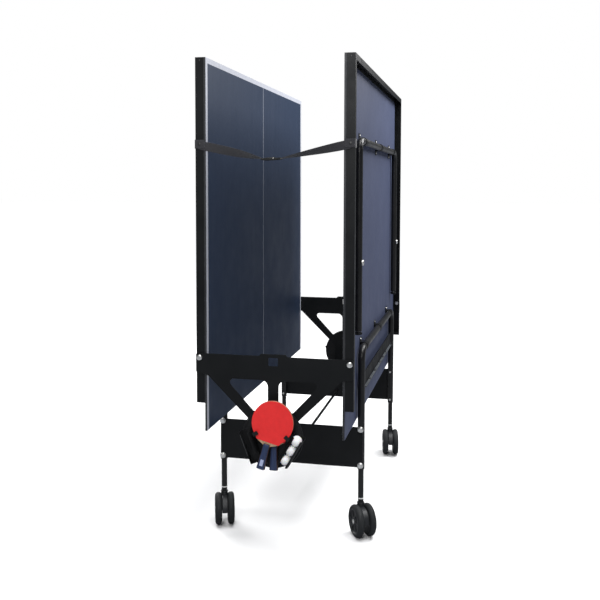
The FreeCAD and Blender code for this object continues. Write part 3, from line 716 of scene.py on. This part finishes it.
def add_ribbon(mesh, uv_layer, centres, acrosses, width, thick, index=0):
    """A band of webbing along centres; acrosses are unit vectors along its width at each one."""
    columns = 10
    count = len(centres)
    fronts = []
    backs = []
    travelled = [0.0]
    for before, after in zip(centres, centres[1:]):
        travelled.append(travelled[-1] + (after - before).length)
    for step, (centre, across) in enumerate(zip(centres, acrosses)):
        ahead = (centres[min(step + 1, count - 1)] - centres[max(step - 1, 0)]).normalized()
        normal = ahead.cross(across).normalized()
        front = []
        back = []
        for column in range(columns + 1):
            share = column / columns - 0.5
            edge = 1.0 - 0.55 * max(0.0, abs(share) * 2 - 0.85) / 0.15
            point = centre + across * (share * width)
            front.append(mesh.verts.new(point + normal * (thick / 2 * edge)))
            back.append(mesh.verts.new(point - normal * (thick / 2 * edge)))
        fronts.append(front)
        backs.append(back)
    faces = []

    def add_face(vertices, weave_places):
        face = mesh.faces.new(vertices)
        for loop, weave_place in zip(face.loops, weave_places):
            loop[uv_layer].uv = weave_place
        faces.append(face)

    there_and_back = (0, 1, 1, 0)
    for step in range(count - 1):
        for column in range(columns):
            corners = [(step, column), (step + 1, column), (step + 1, column + 1), (step, column + 1)]
            weave_places = [(travelled[a], (b / columns - 0.5) * width) for a, b in corners]
            for rows in (fronts, backs):
                add_face([rows[a][b] for a, b in corners], weave_places)
        for column in (0, columns):
            add_face([fronts[step][column], fronts[step + 1][column], backs[step + 1][column],
                      backs[step][column]],
                     [(travelled[step + share], column * thick) for share in there_and_back])
    for step in (0, count - 1):
        for column in range(columns):
            add_face([fronts[step][column], fronts[step][column + 1], backs[step][column + 1],
                      backs[step][column]],
                     [(travelled[step], (column + share) / columns * width) for share in there_and_back])
    paint_faces(faces, index)


def add_stitches(mesh, start, end, normal, index=1):
    """A row of short raised stitches from start to end on a face with this normal."""
    run = end - start
    pitch = 3.2 * MM
    count = max(1, int(run.length / pitch))
    along = run.normalized()
    across = normal.cross(along).normalized()
    for step in range(count):
        middle = start + run * ((step + 0.5) / count)
        half = along * (pitch * 0.36)
        wide = across * (0.42 * MM)
        lift = normal * (0.45 * MM)
        corners = [-half - wide, half - wide, half + wide, wide - half]
        low = [mesh.verts.new(middle + corner) for corner in corners]
        ridge = [mesh.verts.new(middle + end + lift) for end in (half * -0.6, half * 0.6)]
        faces = [mesh.faces.new([low[0], low[1], ridge[1], ridge[0]]),
                 mesh.faces.new([low[1], low[2], ridge[1]]),
                 mesh.faces.new([low[2], low[3], ridge[0], ridge[1]]),
                 mesh.faces.new([low[3], low[0], ridge[0]]),
                 mesh.faces.new(low[::-1])]
        paint_faces(faces, index)


def smooth_step(share):
    """A share from 0 to 1 that starts and ends gently, held at its ends."""
    share = min(1.0, max(0.0, share))
    return share * share * (3 - 2 * share)


def strap_band(side_name, side):
    """The swinging webbing: upright at its rivet, a quarter twist, flat at the buckle."""
    node = "strap_" + side_name
    rivet = Vector(joints["strap_drop_" + side_name]["pos_m"])
    low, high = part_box(node)
    buckle_middle = box_and_middle("strap_buckle")[2]
    buckle_reach = 29 * MM
    outer = high.x if side > 0 else low.x
    start = Vector((outer - side * 2 * MM, rivet.y + 0.1 * MM, rivet.z + 0.5 * MM))
    end = Vector((side * buckle_reach, buckle_middle.y, buckle_middle.z))
    steps = 64
    # shares of the band's length; the left band stays upright for longer than the right one
    leaves_apron = 0.11
    starts_down = 0.12
    twist_power = 0.85 if side > 0 else 2.0
    centres = []
    acrosses = []
    for step in range(steps + 1):
        share = step / steps
        free = max(0.0, share - leaves_apron) / (1 - leaves_apron)
        point = start.lerp(end, share)
        point.y = start.y + (end.y - start.y) * smooth_step(free)
        point.z = start.z + (end.z - start.z) * smooth_step(share / starts_down) * share
        centres.append(point)
        angle = math.radians(90) * free ** twist_power
        acrosses.append(Vector((0, -math.sin(angle), math.cos(angle))))
    mesh = bmesh.new()
    uv_layer = mesh.loops.layers.uv.new("Weave")
    for step in range(1, steps):
        ahead = (centres[step + 1] - centres[step - 1]).normalized()
        acrosses[step] = (acrosses[step] - ahead * acrosses[step].dot(ahead)).normalized()
    add_ribbon(mesh, uv_layer, centres, acrosses, STRAP_WIDTH, STRAP_THICK)
    # the end is doubled over in front and sewn down round its four sides
    doubled = [start + Vector((-side * along * MM, -1.5 * MM, 0)) for along in (0.5, 12, 25, 38)]
    add_ribbon(mesh, uv_layer, doubled, [Z_AXIS] * len(doubled), STRAP_WIDTH - 1 * MM, 1.3 * MM)
    half = STRAP_WIDTH / 2 - 4 * MM
    corners = [start + Vector((-side * along * MM, -2.1 * MM, rise))
               for along, rise in ((3, -half), (35, -half), (35, half), (3, half))]
    for first, second in zip(corners, corners[1:] + corners[:1]):
        add_stitches(mesh, first, second, -Y_AXIS)
    piece("strap_band_" + side_name, mesh, ["webbing", "thread"], node, [node])


def strap_tab(side_name, side):
    """The short webbing that is wrapped round the apron's outer edge behind the rivet."""
    low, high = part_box("side_apron_front_" + side_name)
    rivet = Vector(joints["strap_drop_" + side_name]["pos_m"])
    gap = 1.0 * MM
    bend = 1.4 * MM
    hem = 2.2 * MM
    reach = 26 * MM
    front_y = low.y - gap
    # the route seen from above, as distances out from the middle and back from the front
    outer = max(high.x, -low.x) + gap
    inner = outer - 2 * hem
    route = [(abs(rivet.x) - 14 * MM, 0), (abs(rivet.x), 0), (outer - bend - 4 * MM, 0)]
    route += arc(outer - bend, bend, bend, -90, 0, 6)
    route += [(outer, 8 * MM), (outer, 14 * MM), (outer, 20 * MM)]
    route += arc(outer - hem, reach, hem, 0, 180, 6)
    route += [(inner, 20 * MM), (inner, 12 * MM), (inner, 5 * MM)]
    path = [Vector((side * out, front_y + back, rivet.z)) for out, back in route]
    mesh = bmesh.new()
    uv_layer = mesh.loops.layers.uv.new("Weave")
    add_ribbon(mesh, uv_layer, path, [Z_AXIS] * len(path), STRAP_WIDTH, TAB_THICK)
    for rise in (-12, 12):
        begin = Vector((side * (outer + TAB_THICK / 2), front_y + 6 * MM, rivet.z + rise * MM))
        add_stitches(mesh, begin, begin + Vector((0, 18 * MM, 0)), X_AXIS * side)
    piece("strap_tab_" + side_name, mesh, ["webbing", "thread"], "half_" + side_name)


def buckle():
    """A cam buckle lying flat: a black tray with tapered ends, a dark lever on top, two zinc bars."""
    low, high, middle = box_and_middle("strap_buckle")
    half = (high - low) / 2
    cheek = 1.8 * MM
    mesh = bmesh.new()
    add_block(mesh, (low.x + 9 * MM, low.y + cheek, middle.z - 4.2 * MM),
              (high.x - 9 * MM, high.y - cheek, middle.z - 2.8 * MM))
    outline = ([(-half.x + 1 * MM, -1.5 * MM), (-half.x + 3 * MM, -3 * MM), (-half.x + 12 * MM, -5 * MM),
                (half.x - 12 * MM, -5 * MM), (half.x - 3 * MM, -3 * MM), (half.x - 1 * MM, -1.5 * MM),
                (half.x - 1 * MM, 0.8 * MM), (half.x - 3 * MM, 1.8 * MM), (16 * MM, 0.6 * MM)]
               + arc(9 * MM, 0.6 * MM, 4.4 * MM, 20, 160, 8)
               + [(2 * MM, 0), (-half.x + 3 * MM, 1.8 * MM), (-half.x + 1 * MM, 0.8 * MM)])
    for back_y in (low.y + cheek, high.y):
        add_prism(mesh, outline, 0, cheek, facing((middle.x, back_y, middle.z), -Y_AXIS))
    for x in (low.x + 4.5 * MM, high.x - 4.5 * MM):
        place = facing((x, low.y + 0.8 * MM, middle.z - 0.4 * MM), Y_AXIS)
        length = 2 * half.y - 1.6 * MM
        add_lathe(mesh, [(0, 0), (0, 2.2 * MM), (length, 2.2 * MM), (length, 0)], place, 20, 1)
    pin = facing((middle.x + 9 * MM, low.y - 0.6 * MM, middle.z + 0.8 * MM), Y_AXIS)
    pin_length = 2 * half.y + 1.2 * MM
    add_lathe(mesh, [(0, 0), (0, 1.8 * MM), (0.5 * MM, 2.4 * MM), (pin_length - 0.5 * MM, 2.4 * MM),
                     (pin_length, 1.8 * MM), (pin_length, 0)], pin, 20, 1)
    lever = ([(12 * MM, -1.5 * MM)] + arc(9 * MM, 1 * MM, 3.6 * MM, -20, 95, 8)
             + [(-12 * MM, 4.4 * MM), (-27 * MM, 3.6 * MM), (-29 * MM, 2.4 * MM), (-27 * MM, 1.6 * MM),
                (-12 * MM, 1.4 * MM), (4 * MM, -1.2 * MM)])
    place = facing((middle.x, high.y - cheek - 0.6 * MM, middle.z), -Y_AXIS)
    add_prism(mesh, lever, 0, 2 * half.y - 2 * cheek - 1.2 * MM, place, 2)
    tilt = Matrix.Rotation(math.radians(-3.5), 3, "Y")
    bmesh.ops.rotate(mesh, verts=mesh.verts, cent=middle, matrix=tilt)
    made = piece("strap_buckle_detail", mesh, ["plastic", "zinc", "dark_steel"], "strap_left",
                 ["strap_buckle"])
    soften(made, 0.4 * MM)


# ---------------------------------------------------------------- castors
def wheel(corner, hand, axle_middle):
    """One castor wheel: a rubber tread round a ribbed plastic centre, with a bright axle end."""
    node = "wheel_%s_%s" % (corner, hand)
    low, high, middle = box_and_middle(node)
    radius = (high.z - low.z) / 2
    spin = Vector(joints["wheel_spin_%s_%s" % (corner, hand)]["axis"]).normalized()
    outward = spin if (middle - axle_middle).dot(spin) > 0 else -spin
    place = facing(middle, outward)
    half = 13 * MM
    shoulder = 12 * MM
    core = radius * 0.78
    bore = 4.9 * MM
    cheek = half - 1 * MM
    dish = half - 5.5 * MM
    inner_half = [(-cheek, core), (-half, core + 1.5 * MM), (-half, radius - shoulder)]
    inner_half += arc(shoulder - half, radius - shoulder, shoulder, 165, 90, 5)
    inner_half += [(-0.9 * MM, radius), (-0.5 * MM, radius - 0.5 * MM)]
    tread = inner_half + [(-a, b) for a, b in reversed(inner_half)]
    face = [(cheek, core), (half - 0.2 * MM, core - 1 * MM), (half - 0.2 * MM, core - 4 * MM),
            (cheek, core - 5 * MM), (dish, core - 6.5 * MM), (dish, 17 * MM), (dish + 1 * MM, 15.5 * MM),
            (cheek, 14.5 * MM), (half, 13.5 * MM), (half, 9 * MM), (cheek, 8 * MM), (cheek, bore)]
    back = [(-cheek, core), (-cheek, 16 * MM), (-half, 15 * MM), (-half, bore)]
    mesh = bmesh.new()
    for index, profile in ((0, tread), (1, face), (1, back)):
        add_lathe(mesh, profile, place, 72, index)
    ribs = 6
    rib_low = (15 * MM, -1.5 * MM, dish - 0.5 * MM)
    rib_high = (core - 5.5 * MM, 1.5 * MM, half - 1.8 * MM)
    for step in range(ribs):
        turn = place @ Matrix.Rotation(2 * math.pi * step / ribs, 4, "Z")
        add_block(mesh, rib_low, rib_high, 1, turn)
    piece("castor_wheel_%s_%s" % (corner, hand), mesh, ["tyre", "castor"], node, [node])


def castor(corner):
    """The swivelling body between the wheels, its stem collar and the axle."""
    node = "castor_" + corner
    swivel = Vector(joints["castor_swivel_" + corner]["pos_m"])
    spin_joint = joints["wheel_spin_%s_left" % corner]
    axle_middle = Vector(spin_joint["pos_m"])
    spin = Vector(spin_joint["axis"]).normalized()
    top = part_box(node)[1].z
    stem = Vector((swivel.x, swivel.y, 0))
    trail = Vector((axle_middle.x, axle_middle.y, 0)) - stem
    trail = trail - spin * trail.dot(spin)
    ahead = trail.normalized()
    reach = trail.length
    height = axle_middle.z
    # local axes: X along the trail, Y up, Z along the axle
    turn = Matrix((ahead, Z_AXIS, ahead.cross(Z_AXIS))).transposed().to_4x4()
    place = Matrix.Translation(stem) @ turn
    half_body = 11.2 * MM
    drum = 50 * MM
    cut_below_axle = 3 * MM
    cut_angle = math.degrees(math.asin(cut_below_axle / drum))
    outline = arc(reach, height, drum, -cut_angle, 118, 26)
    outline += [(-13 * MM, height + 57 * MM), (-19 * MM, height + 50 * MM), (-24 * MM, height + 36 * MM)]
    outline += arc(reach, height, drum - 3 * MM, 160, 180 + cut_angle, 6)
    mesh = bmesh.new()
    add_prism(mesh, outline, -half_body, half_body, place)
    made = piece("castor_body_" + corner, mesh, ["castor"], node, [node])
    soften(made, 2.6 * MM, 4, 30)
    collar = bmesh.new()
    flange = 2 * height
    profile = [(height + 40 * MM, 15 * MM), (height + 56 * MM, 14.2 * MM), (height + 60 * MM, 12.5 * MM),
               (flange, 12 * MM), (flange, 14 * MM), (flange + 0.6 * MM, 14.6 * MM),
               (flange + 3.4 * MM, 14.6 * MM), (flange + 4 * MM, 14 * MM), (flange + 4 * MM, 6 * MM),
               (top, 6 * MM), (top, 0)]
    add_lathe(collar, profile, Matrix.Translation(stem))
    half_axle = 40.5 * MM
    axle_end = [(half_axle - 1 * MM, 4.8 * MM), (half_axle, 3.8 * MM), (half_axle, 0)]
    axle = [(-a, b) for a, b in reversed(axle_end)] + axle_end
    add_lathe(collar, axle, facing(axle_middle, spin), 32, 1)
    for outward in (-spin, spin):
        tip = axle_middle + outward * 38 * MM
        add_washer(collar, facing(tip, outward), 4.9 * MM, 8.2 * MM, 1.0 * MM, 1)
    piece("castor_collar_" + corner, collar, ["castor", "zinc"], node)
    for hand in ("left", "right"):
        wheel(corner, hand, axle_middle)


# ---------------------------------------------------------------- holders
# middle of the lowest ball along X and Z, lean from upright in degrees, and where the lips start:
# those of the empty trough start above the handle of the first bat
TROUGHS = {"full": (55 * MM, 386 * MM, 30, 0), "empty": (-62 * MM, 388 * MM, -21, 36 * MM)}
TROUGH_LENGTH = 115 * MM
BALL_RADIUS = 20 * MM
BALL_DEPTH = BALL_RADIUS + 1.5 * MM


def holder_hub(end_name, end):
    """The round moulding at the foot of a truss, with a rolled rim, a groove and three screws."""
    node = "holder_hub_" + end_name
    low, high, middle = box_and_middle(node)
    back_y = high.y if end < 0 else low.y
    face_y = low.y if end < 0 else high.y
    thick = high.y - low.y
    radius = (high.z - low.z) / 2
    edge = 2.2 * MM
    groove = thick - 1.4 * MM
    profile = [(0, 0), (0, radius - 0.6 * MM), (0.6 * MM, radius), (thick - edge, radius)]
    profile += arc(thick - edge, radius - edge, edge, 75, 0, 5)
    profile += [(thick, radius - 7 * MM), (groove, radius - 8 * MM), (groove, radius - 10 * MM),
                (thick, radius - 11 * MM), (thick, 0)]
    mesh = bmesh.new()
    add_lathe(mesh, profile, facing((middle.x, back_y, middle.z), Y_AXIS * end), 96)
    for x, z in ((0, 95), (-20, -95), (20, -95)):
        spot = Vector((middle.x + x * MM, face_y, middle.z + z * MM))
        add_pan_screw(mesh, facing(spot, Y_AXIS * end), 4 * MM, 1.2 * MM, 1)
    piece("hub_moulding_" + end_name, mesh, ["plastic", "dark_steel"], "trolley", [node])


def trough_lips():
    """Rolled lips along the mouths of the ball troughs, which close over the balls' sides."""
    turn_in = 50
    wall = 1.2 * MM
    inner = BALL_RADIUS + 0.6 * MM
    bead_a, bead_b = arc(0, 0, inner + wall / 2, turn_in, turn_in, 1)[0]
    outline = arc(0, 0, inner + wall, 0, turn_in, 10)
    outline += arc(bead_a, bead_b, 0.9 * MM, turn_in, turn_in + 180, 6)
    outline += arc(0, 0, inner, turn_in, 0, 10)
    for (end_name, end), kind in itertools.product(ENDS.items(), TROUGHS):
        x, z, lean, start = TROUGHS[kind]
        hub_low, hub_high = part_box("holder_hub_" + end_name)
        hub_face = hub_low.y if end < 0 else hub_high.y
        outward = Y_AXIS * end
        upward = Vector((math.sin(math.radians(lean)), 0, math.cos(math.radians(lean))))
        across = outward.cross(upward)
        foot = Vector((x, hub_face, z)) + outward * BALL_DEPTH - upward * (inner + wall)
        mesh = bmesh.new()
        for hand in (-1, 1):
            turn = Matrix((across * hand, outward, upward)).transposed().to_4x4()
            add_prism(mesh, outline, start, TROUGH_LENGTH, Matrix.Translation(foot) @ turn)
        made = piece("trough_lips_%s_%s" % (end_name, kind), mesh, ["plastic"], "trolley")
        soften(made, 0.4 * MM, 2, 50)


# ---------------------------------------------------------------- bats and balls
# how far below a blade's middle its egg shape would close, and where its rubbers end
BLADE_REACH = 80 * MM
RUBBER_FOOT = 73 * MM
# thickness of the plywood, and of the sponge with its topsheet on either side
PLY = 6 * MM
SHEET = 2 * MM


def blade_half_width(z, radius, neck):
    """Half the blade's width at a height below its middle, with a shoulder that flows into the neck."""
    shoulder = smooth_step((-z - 62 * MM) / (10 * MM))
    reach = BLADE_REACH + 6 * MM * shoulder
    egg = radius * math.sqrt(max(0.0, 1 - (z / reach) ** 2))
    soft = 10 * MM
    return (egg + neck + math.sqrt((egg - neck) ** 2 + soft ** 2)) / 2


def blade_outline(radius, crown, neck, foot):
    """A closed outline from the blade's foot round its crown, in (x, z) about its middle."""
    steps = 30
    heights = [foot * (1 - step / steps) for step in range(steps + 1)]
    half = [(blade_half_width(z, radius, neck), z) for z in heights]
    half += [(a, b * crown / radius) for a, b in arc(0, 0, radius, 3, 87, 22)]
    return half + [(0, crown)] + [(-a, b) for a, b in reversed(half)]


def bat(name):
    """A bat in its place: plywood blade, sponge and topsheets, and a flared two-part handle."""
    low, high, box_middle = box_and_middle(name + "_blade")
    cad_radius = (high.x - low.x) / 2
    # the second bat is a little smaller and lower, so that the first one hides it
    smaller = 0 if name == "bat_1" else 6 * MM
    radius = cad_radius - smaller
    crown = cad_radius + 3 * MM if name == "bat_1" else radius
    up = Vector(joints[name + "_lift"]["axis"]).normalized()
    middle = Vector((high.x - cad_radius, box_middle.y, high.z - cad_radius))
    middle -= up * smaller * 0.6
    across = up.cross(Y_AXIS).normalized() * -1
    turn = Matrix((across, up, across.cross(up))).transposed().to_4x4()
    place = Matrix.Translation(middle) @ turn
    neck = 9 * MM
    rim = 0.4 * MM
    handle_top = -80 * MM
    tang_foot = handle_top - 60 * MM
    mesh = bmesh.new()
    outline = blade_outline(radius - rim, crown - rim, neck, tang_foot)
    add_prism(mesh, outline, -PLY / 2, PLY / 2, place)
    plywood = piece(name + "_plywood", mesh, ["bat_wood"], name, [name + "_blade"])
    soften(plywood, 0.6 * MM, 2, 50)
    outline = blade_outline(radius, crown, neck, -RUBBER_FOOT)
    levels = (PLY / 2, PLY / 2 + SHEET * 0.55, PLY / 2 + SHEET)
    for sign, look in ((1, "red_rubber"), (-1, "black_rubber")):
        inner, glue_line, outer = [sign * level for level in levels]
        mesh = bmesh.new()
        add_prism(mesh, outline, *sorted((inner, glue_line)), place, 1)
        add_prism(mesh, outline, *sorted((glue_line, outer)), place, 0)
        sheet = piece("%s_%s" % (name, look), mesh, [look, "sponge"], name)
        soften(sheet, 0.35 * MM, 2, 50)
    grip(name, place, handle_top)


def grip(name, place, top):
    """A handle that flares towards its end: blue scales with brown veneer stripes at their edges."""
    length = 95 * MM
    steps = 20
    sides = 28
    squareness = 0.62
    section = [[math.copysign(abs(value) ** squareness, value) for value in point]
               for point in circle(1, sides)]
    mesh = bmesh.new()
    rings = []
    for step in range(steps + 1):
        share = step / steps
        waist = 12.4 * MM + 3.4 * MM * share ** 2.2
        depth = 10.4 * MM + 0.5 * MM * share ** 2
        if step == 0:
            waist *= 0.93
            depth *= 0.80
        points = [Vector((waist * a, top - length * share, depth * b)) for a, b in section]
        rings.append([mesh.verts.new(place @ point) for point in points])
    for first, second in zip(rings, rings[1:]):
        for side, face in enumerate(add_band(mesh, first, second)):
            angle = 360 * (side + 0.5) / sides % 180
            face.material_index = 1 if angle < 36 or angle > 144 else 0
    paint_faces([mesh.faces.new(ring) for ring in (rings[0], rings[-1])], 1)
    made = piece(name + "_grip", mesh, ["grip_blue", "grip_brown"], name, [name + "_handle"])
    soften(made, 1.2 * MM, 3, 60)
    if name == "bat_1":
        blank_label(name, place @ Matrix.Translation((0, top - 70 * MM, 10.7 * MM)))


def blank_label(bat_name, place):
    """A blank label with rounded corners on a handle."""
    outline = []
    for start, (a, b) in zip((0, 90, 180, 270), ((4, 10), (-4, 10), (-4, -10), (4, -10))):
        outline += arc(a * MM, b * MM, 2 * MM, start, start + 90, 4)
    mesh = bmesh.new()
    add_prism(mesh, outline, 0, 0.4 * MM, place)
    piece(bat_name + "_label", mesh, ["label"], bat_name)


def ball(index):
    """A ball with the fine welded seam that runs round its middle."""
    node = "ball_%d" % index
    low, high, middle = box_and_middle(node)
    radius = (high.x - low.x) / 2
    tilt = Vector((0.3 * index, -0.5, 1.0 - 0.35 * index))
    profile = []
    rows = 40
    for row in range(rows + 1):
        angle = math.pi * row / rows - math.pi / 2
        groove = 0.06 * MM if row == rows // 2 else 0
        ring = 0 if row in (0, rows) else (radius - groove) * math.cos(angle)
        profile.append(((radius - groove) * math.sin(angle), ring))
    mesh = bmesh.new()
    add_lathe(mesh, profile, facing(middle, tilt, X_AXIS), 64)
    piece("%s_seamed" % node, mesh, ["ball"], node, [node])


# ---------------------------------------------------------------- the object
KEPT_NODES = {
    "steel": ["side_apron_%s_%s" % (end, side) for end in ENDS for side in SIDES]
             + ["%s_%s" % (name, side) for name in ("end_apron", "saddles") for side in SIDES]
             + ["%s_%s" % (name, end) for name in ("cross_plate", "truss_plate") for end in ENDS],
    "rail": ["side_rail_right", "side_rail_left"],
    "tube": ["%s_%s" % (name, side) for name in ("hoop", "end_leg_frame") for side in SIDES]
            + ["castor_legs", "tie_rod"],
    "zinc": ["pivot_bolts", "plate_bolts", "leg_bolts_right", "leg_bolts_left"],
    "plastic": ["stem_bushes", "ball_troughs", "bat_clips"],
    "white_plastic": ["leg_rings"],
}
for look, names in KEPT_NODES.items():
    for node_name in names:
        dress(node_name, look)

for side_name, side in SIDES.items():
    board(side_name, side)
    fixings(side_name, side)
    apron_screws(side_name)
    apron_plugs(side_name)
    strap_band(side_name, side)
    strap_tab(side_name, side)
buckle()
bolt_washers()
rail_screws()
levellers()
for corner in CORNERS:
    castor(corner)
for end_name, end in ENDS.items():
    holder_hub(end_name, end)
trough_lips()
for bat_name in ("bat_1", "bat_2"):
    bat(bat_name)
for ball_index in (1, 2, 3):
    ball(ball_index)


# ---------------------------------------------------------------- floor, light and camera
def floor():
    """A plain pale floor that reaches past everything that the camera sees."""
    reach = 60.0
    corners = [(-reach, -reach, 0), (reach, -reach, 0), (reach, reach, 0), (-reach, reach, 0)]
    data = bpy.data.meshes.new("floor")
    data.from_pydata(corners, [], [(0, 1, 2, 3)])
    data.materials.append(MATERIALS["floor"])
    link(bpy.data.objects.new("floor", data))


def surroundings():
    """White where the camera sees past the floor, and a weak cool light from all round."""
    world = bpy.data.worlds.new("studio")
    world.use_nodes = True
    nodes = world.node_tree.nodes
    links = world.node_tree.links
    seen = nodes["Background"]
    seen.inputs["Color"].default_value = rgb(1.0, 1.0, 1.0)
    seen.inputs["Strength"].default_value = 1.0
    soft = nodes.new("ShaderNodeBackground")
    soft.inputs["Color"].default_value = rgb(0.93, 0.96, 1.0)
    soft.inputs["Strength"].default_value = 0.13
    chooser = nodes.new("ShaderNodeMixShader")
    links.new(nodes.new("ShaderNodeLightPath").outputs["Is Camera Ray"], chooser.inputs["Fac"])
    links.new(soft.outputs["Background"], chooser.inputs[1])
    links.new(seen.outputs["Background"], chooser.inputs[2])
    links.new(chooser.outputs["Shader"], nodes["World Output"].inputs["Surface"])
    bpy.context.scene.world = world
    bpy.context.scene.view_settings.view_transform = "Standard"


# name, place, point that it faces, width and power in watts
LAMPS = [("key", (0.2, -3.4, 2.6), (0, 0, 1.2), 1.6, 60),
         ("window", (1.4, 0.8, 2.6), (0.28, 0, 1.9), 0.9, 40),
         ("fill", (-2.6, 2.0, 2.4), (-0.28, 0, 1.2), 1.8, 95)]


def lights():
    """A broad light from the ceiling and three square lamps."""
    sun = bpy.data.lights.new("ceiling", "SUN")
    sun.energy = 3.0
    sun.angle = math.radians(44)
    ceiling = link(bpy.data.objects.new("ceiling", sun))
    ceiling.rotation_euler = (math.radians(4), math.radians(9), 0)
    for name, place, target, size, power in LAMPS:
        light = bpy.data.lights.new(name, "AREA")
        light.size = size
        light.energy = power
        lamp = link(bpy.data.objects.new(name, light))
        lamp.location = place
        lamp.rotation_euler = (Vector(target) - Vector(place)).to_track_quat("-Z", "Y").to_euler()


def camera():
    """The camera at the photograph's angle: a little right of the front, at chest height."""
    data = bpy.data.cameras.new("camera")
    data.lens = 47.66
    data.sensor_width = 36.0
    data.shift_x = -0.028
    data.shift_y = -0.113
    data.clip_end = 60.0
    obj = link(bpy.data.objects.new("camera", data))
    obj.location = (0.7400, -3.5094, 1.3662)
    aim = Matrix.Rotation(math.radians(11.96), 3, "Z") @ Matrix.Rotation(math.radians(90 - 3.35), 3, "X")
    roll = Matrix.Rotation(math.radians(0.19), 3, "Z")
    obj.rotation_euler = (aim @ roll).to_euler()
    bpy.context.scene.camera = obj


floor()
surroundings()
lights()
camera()
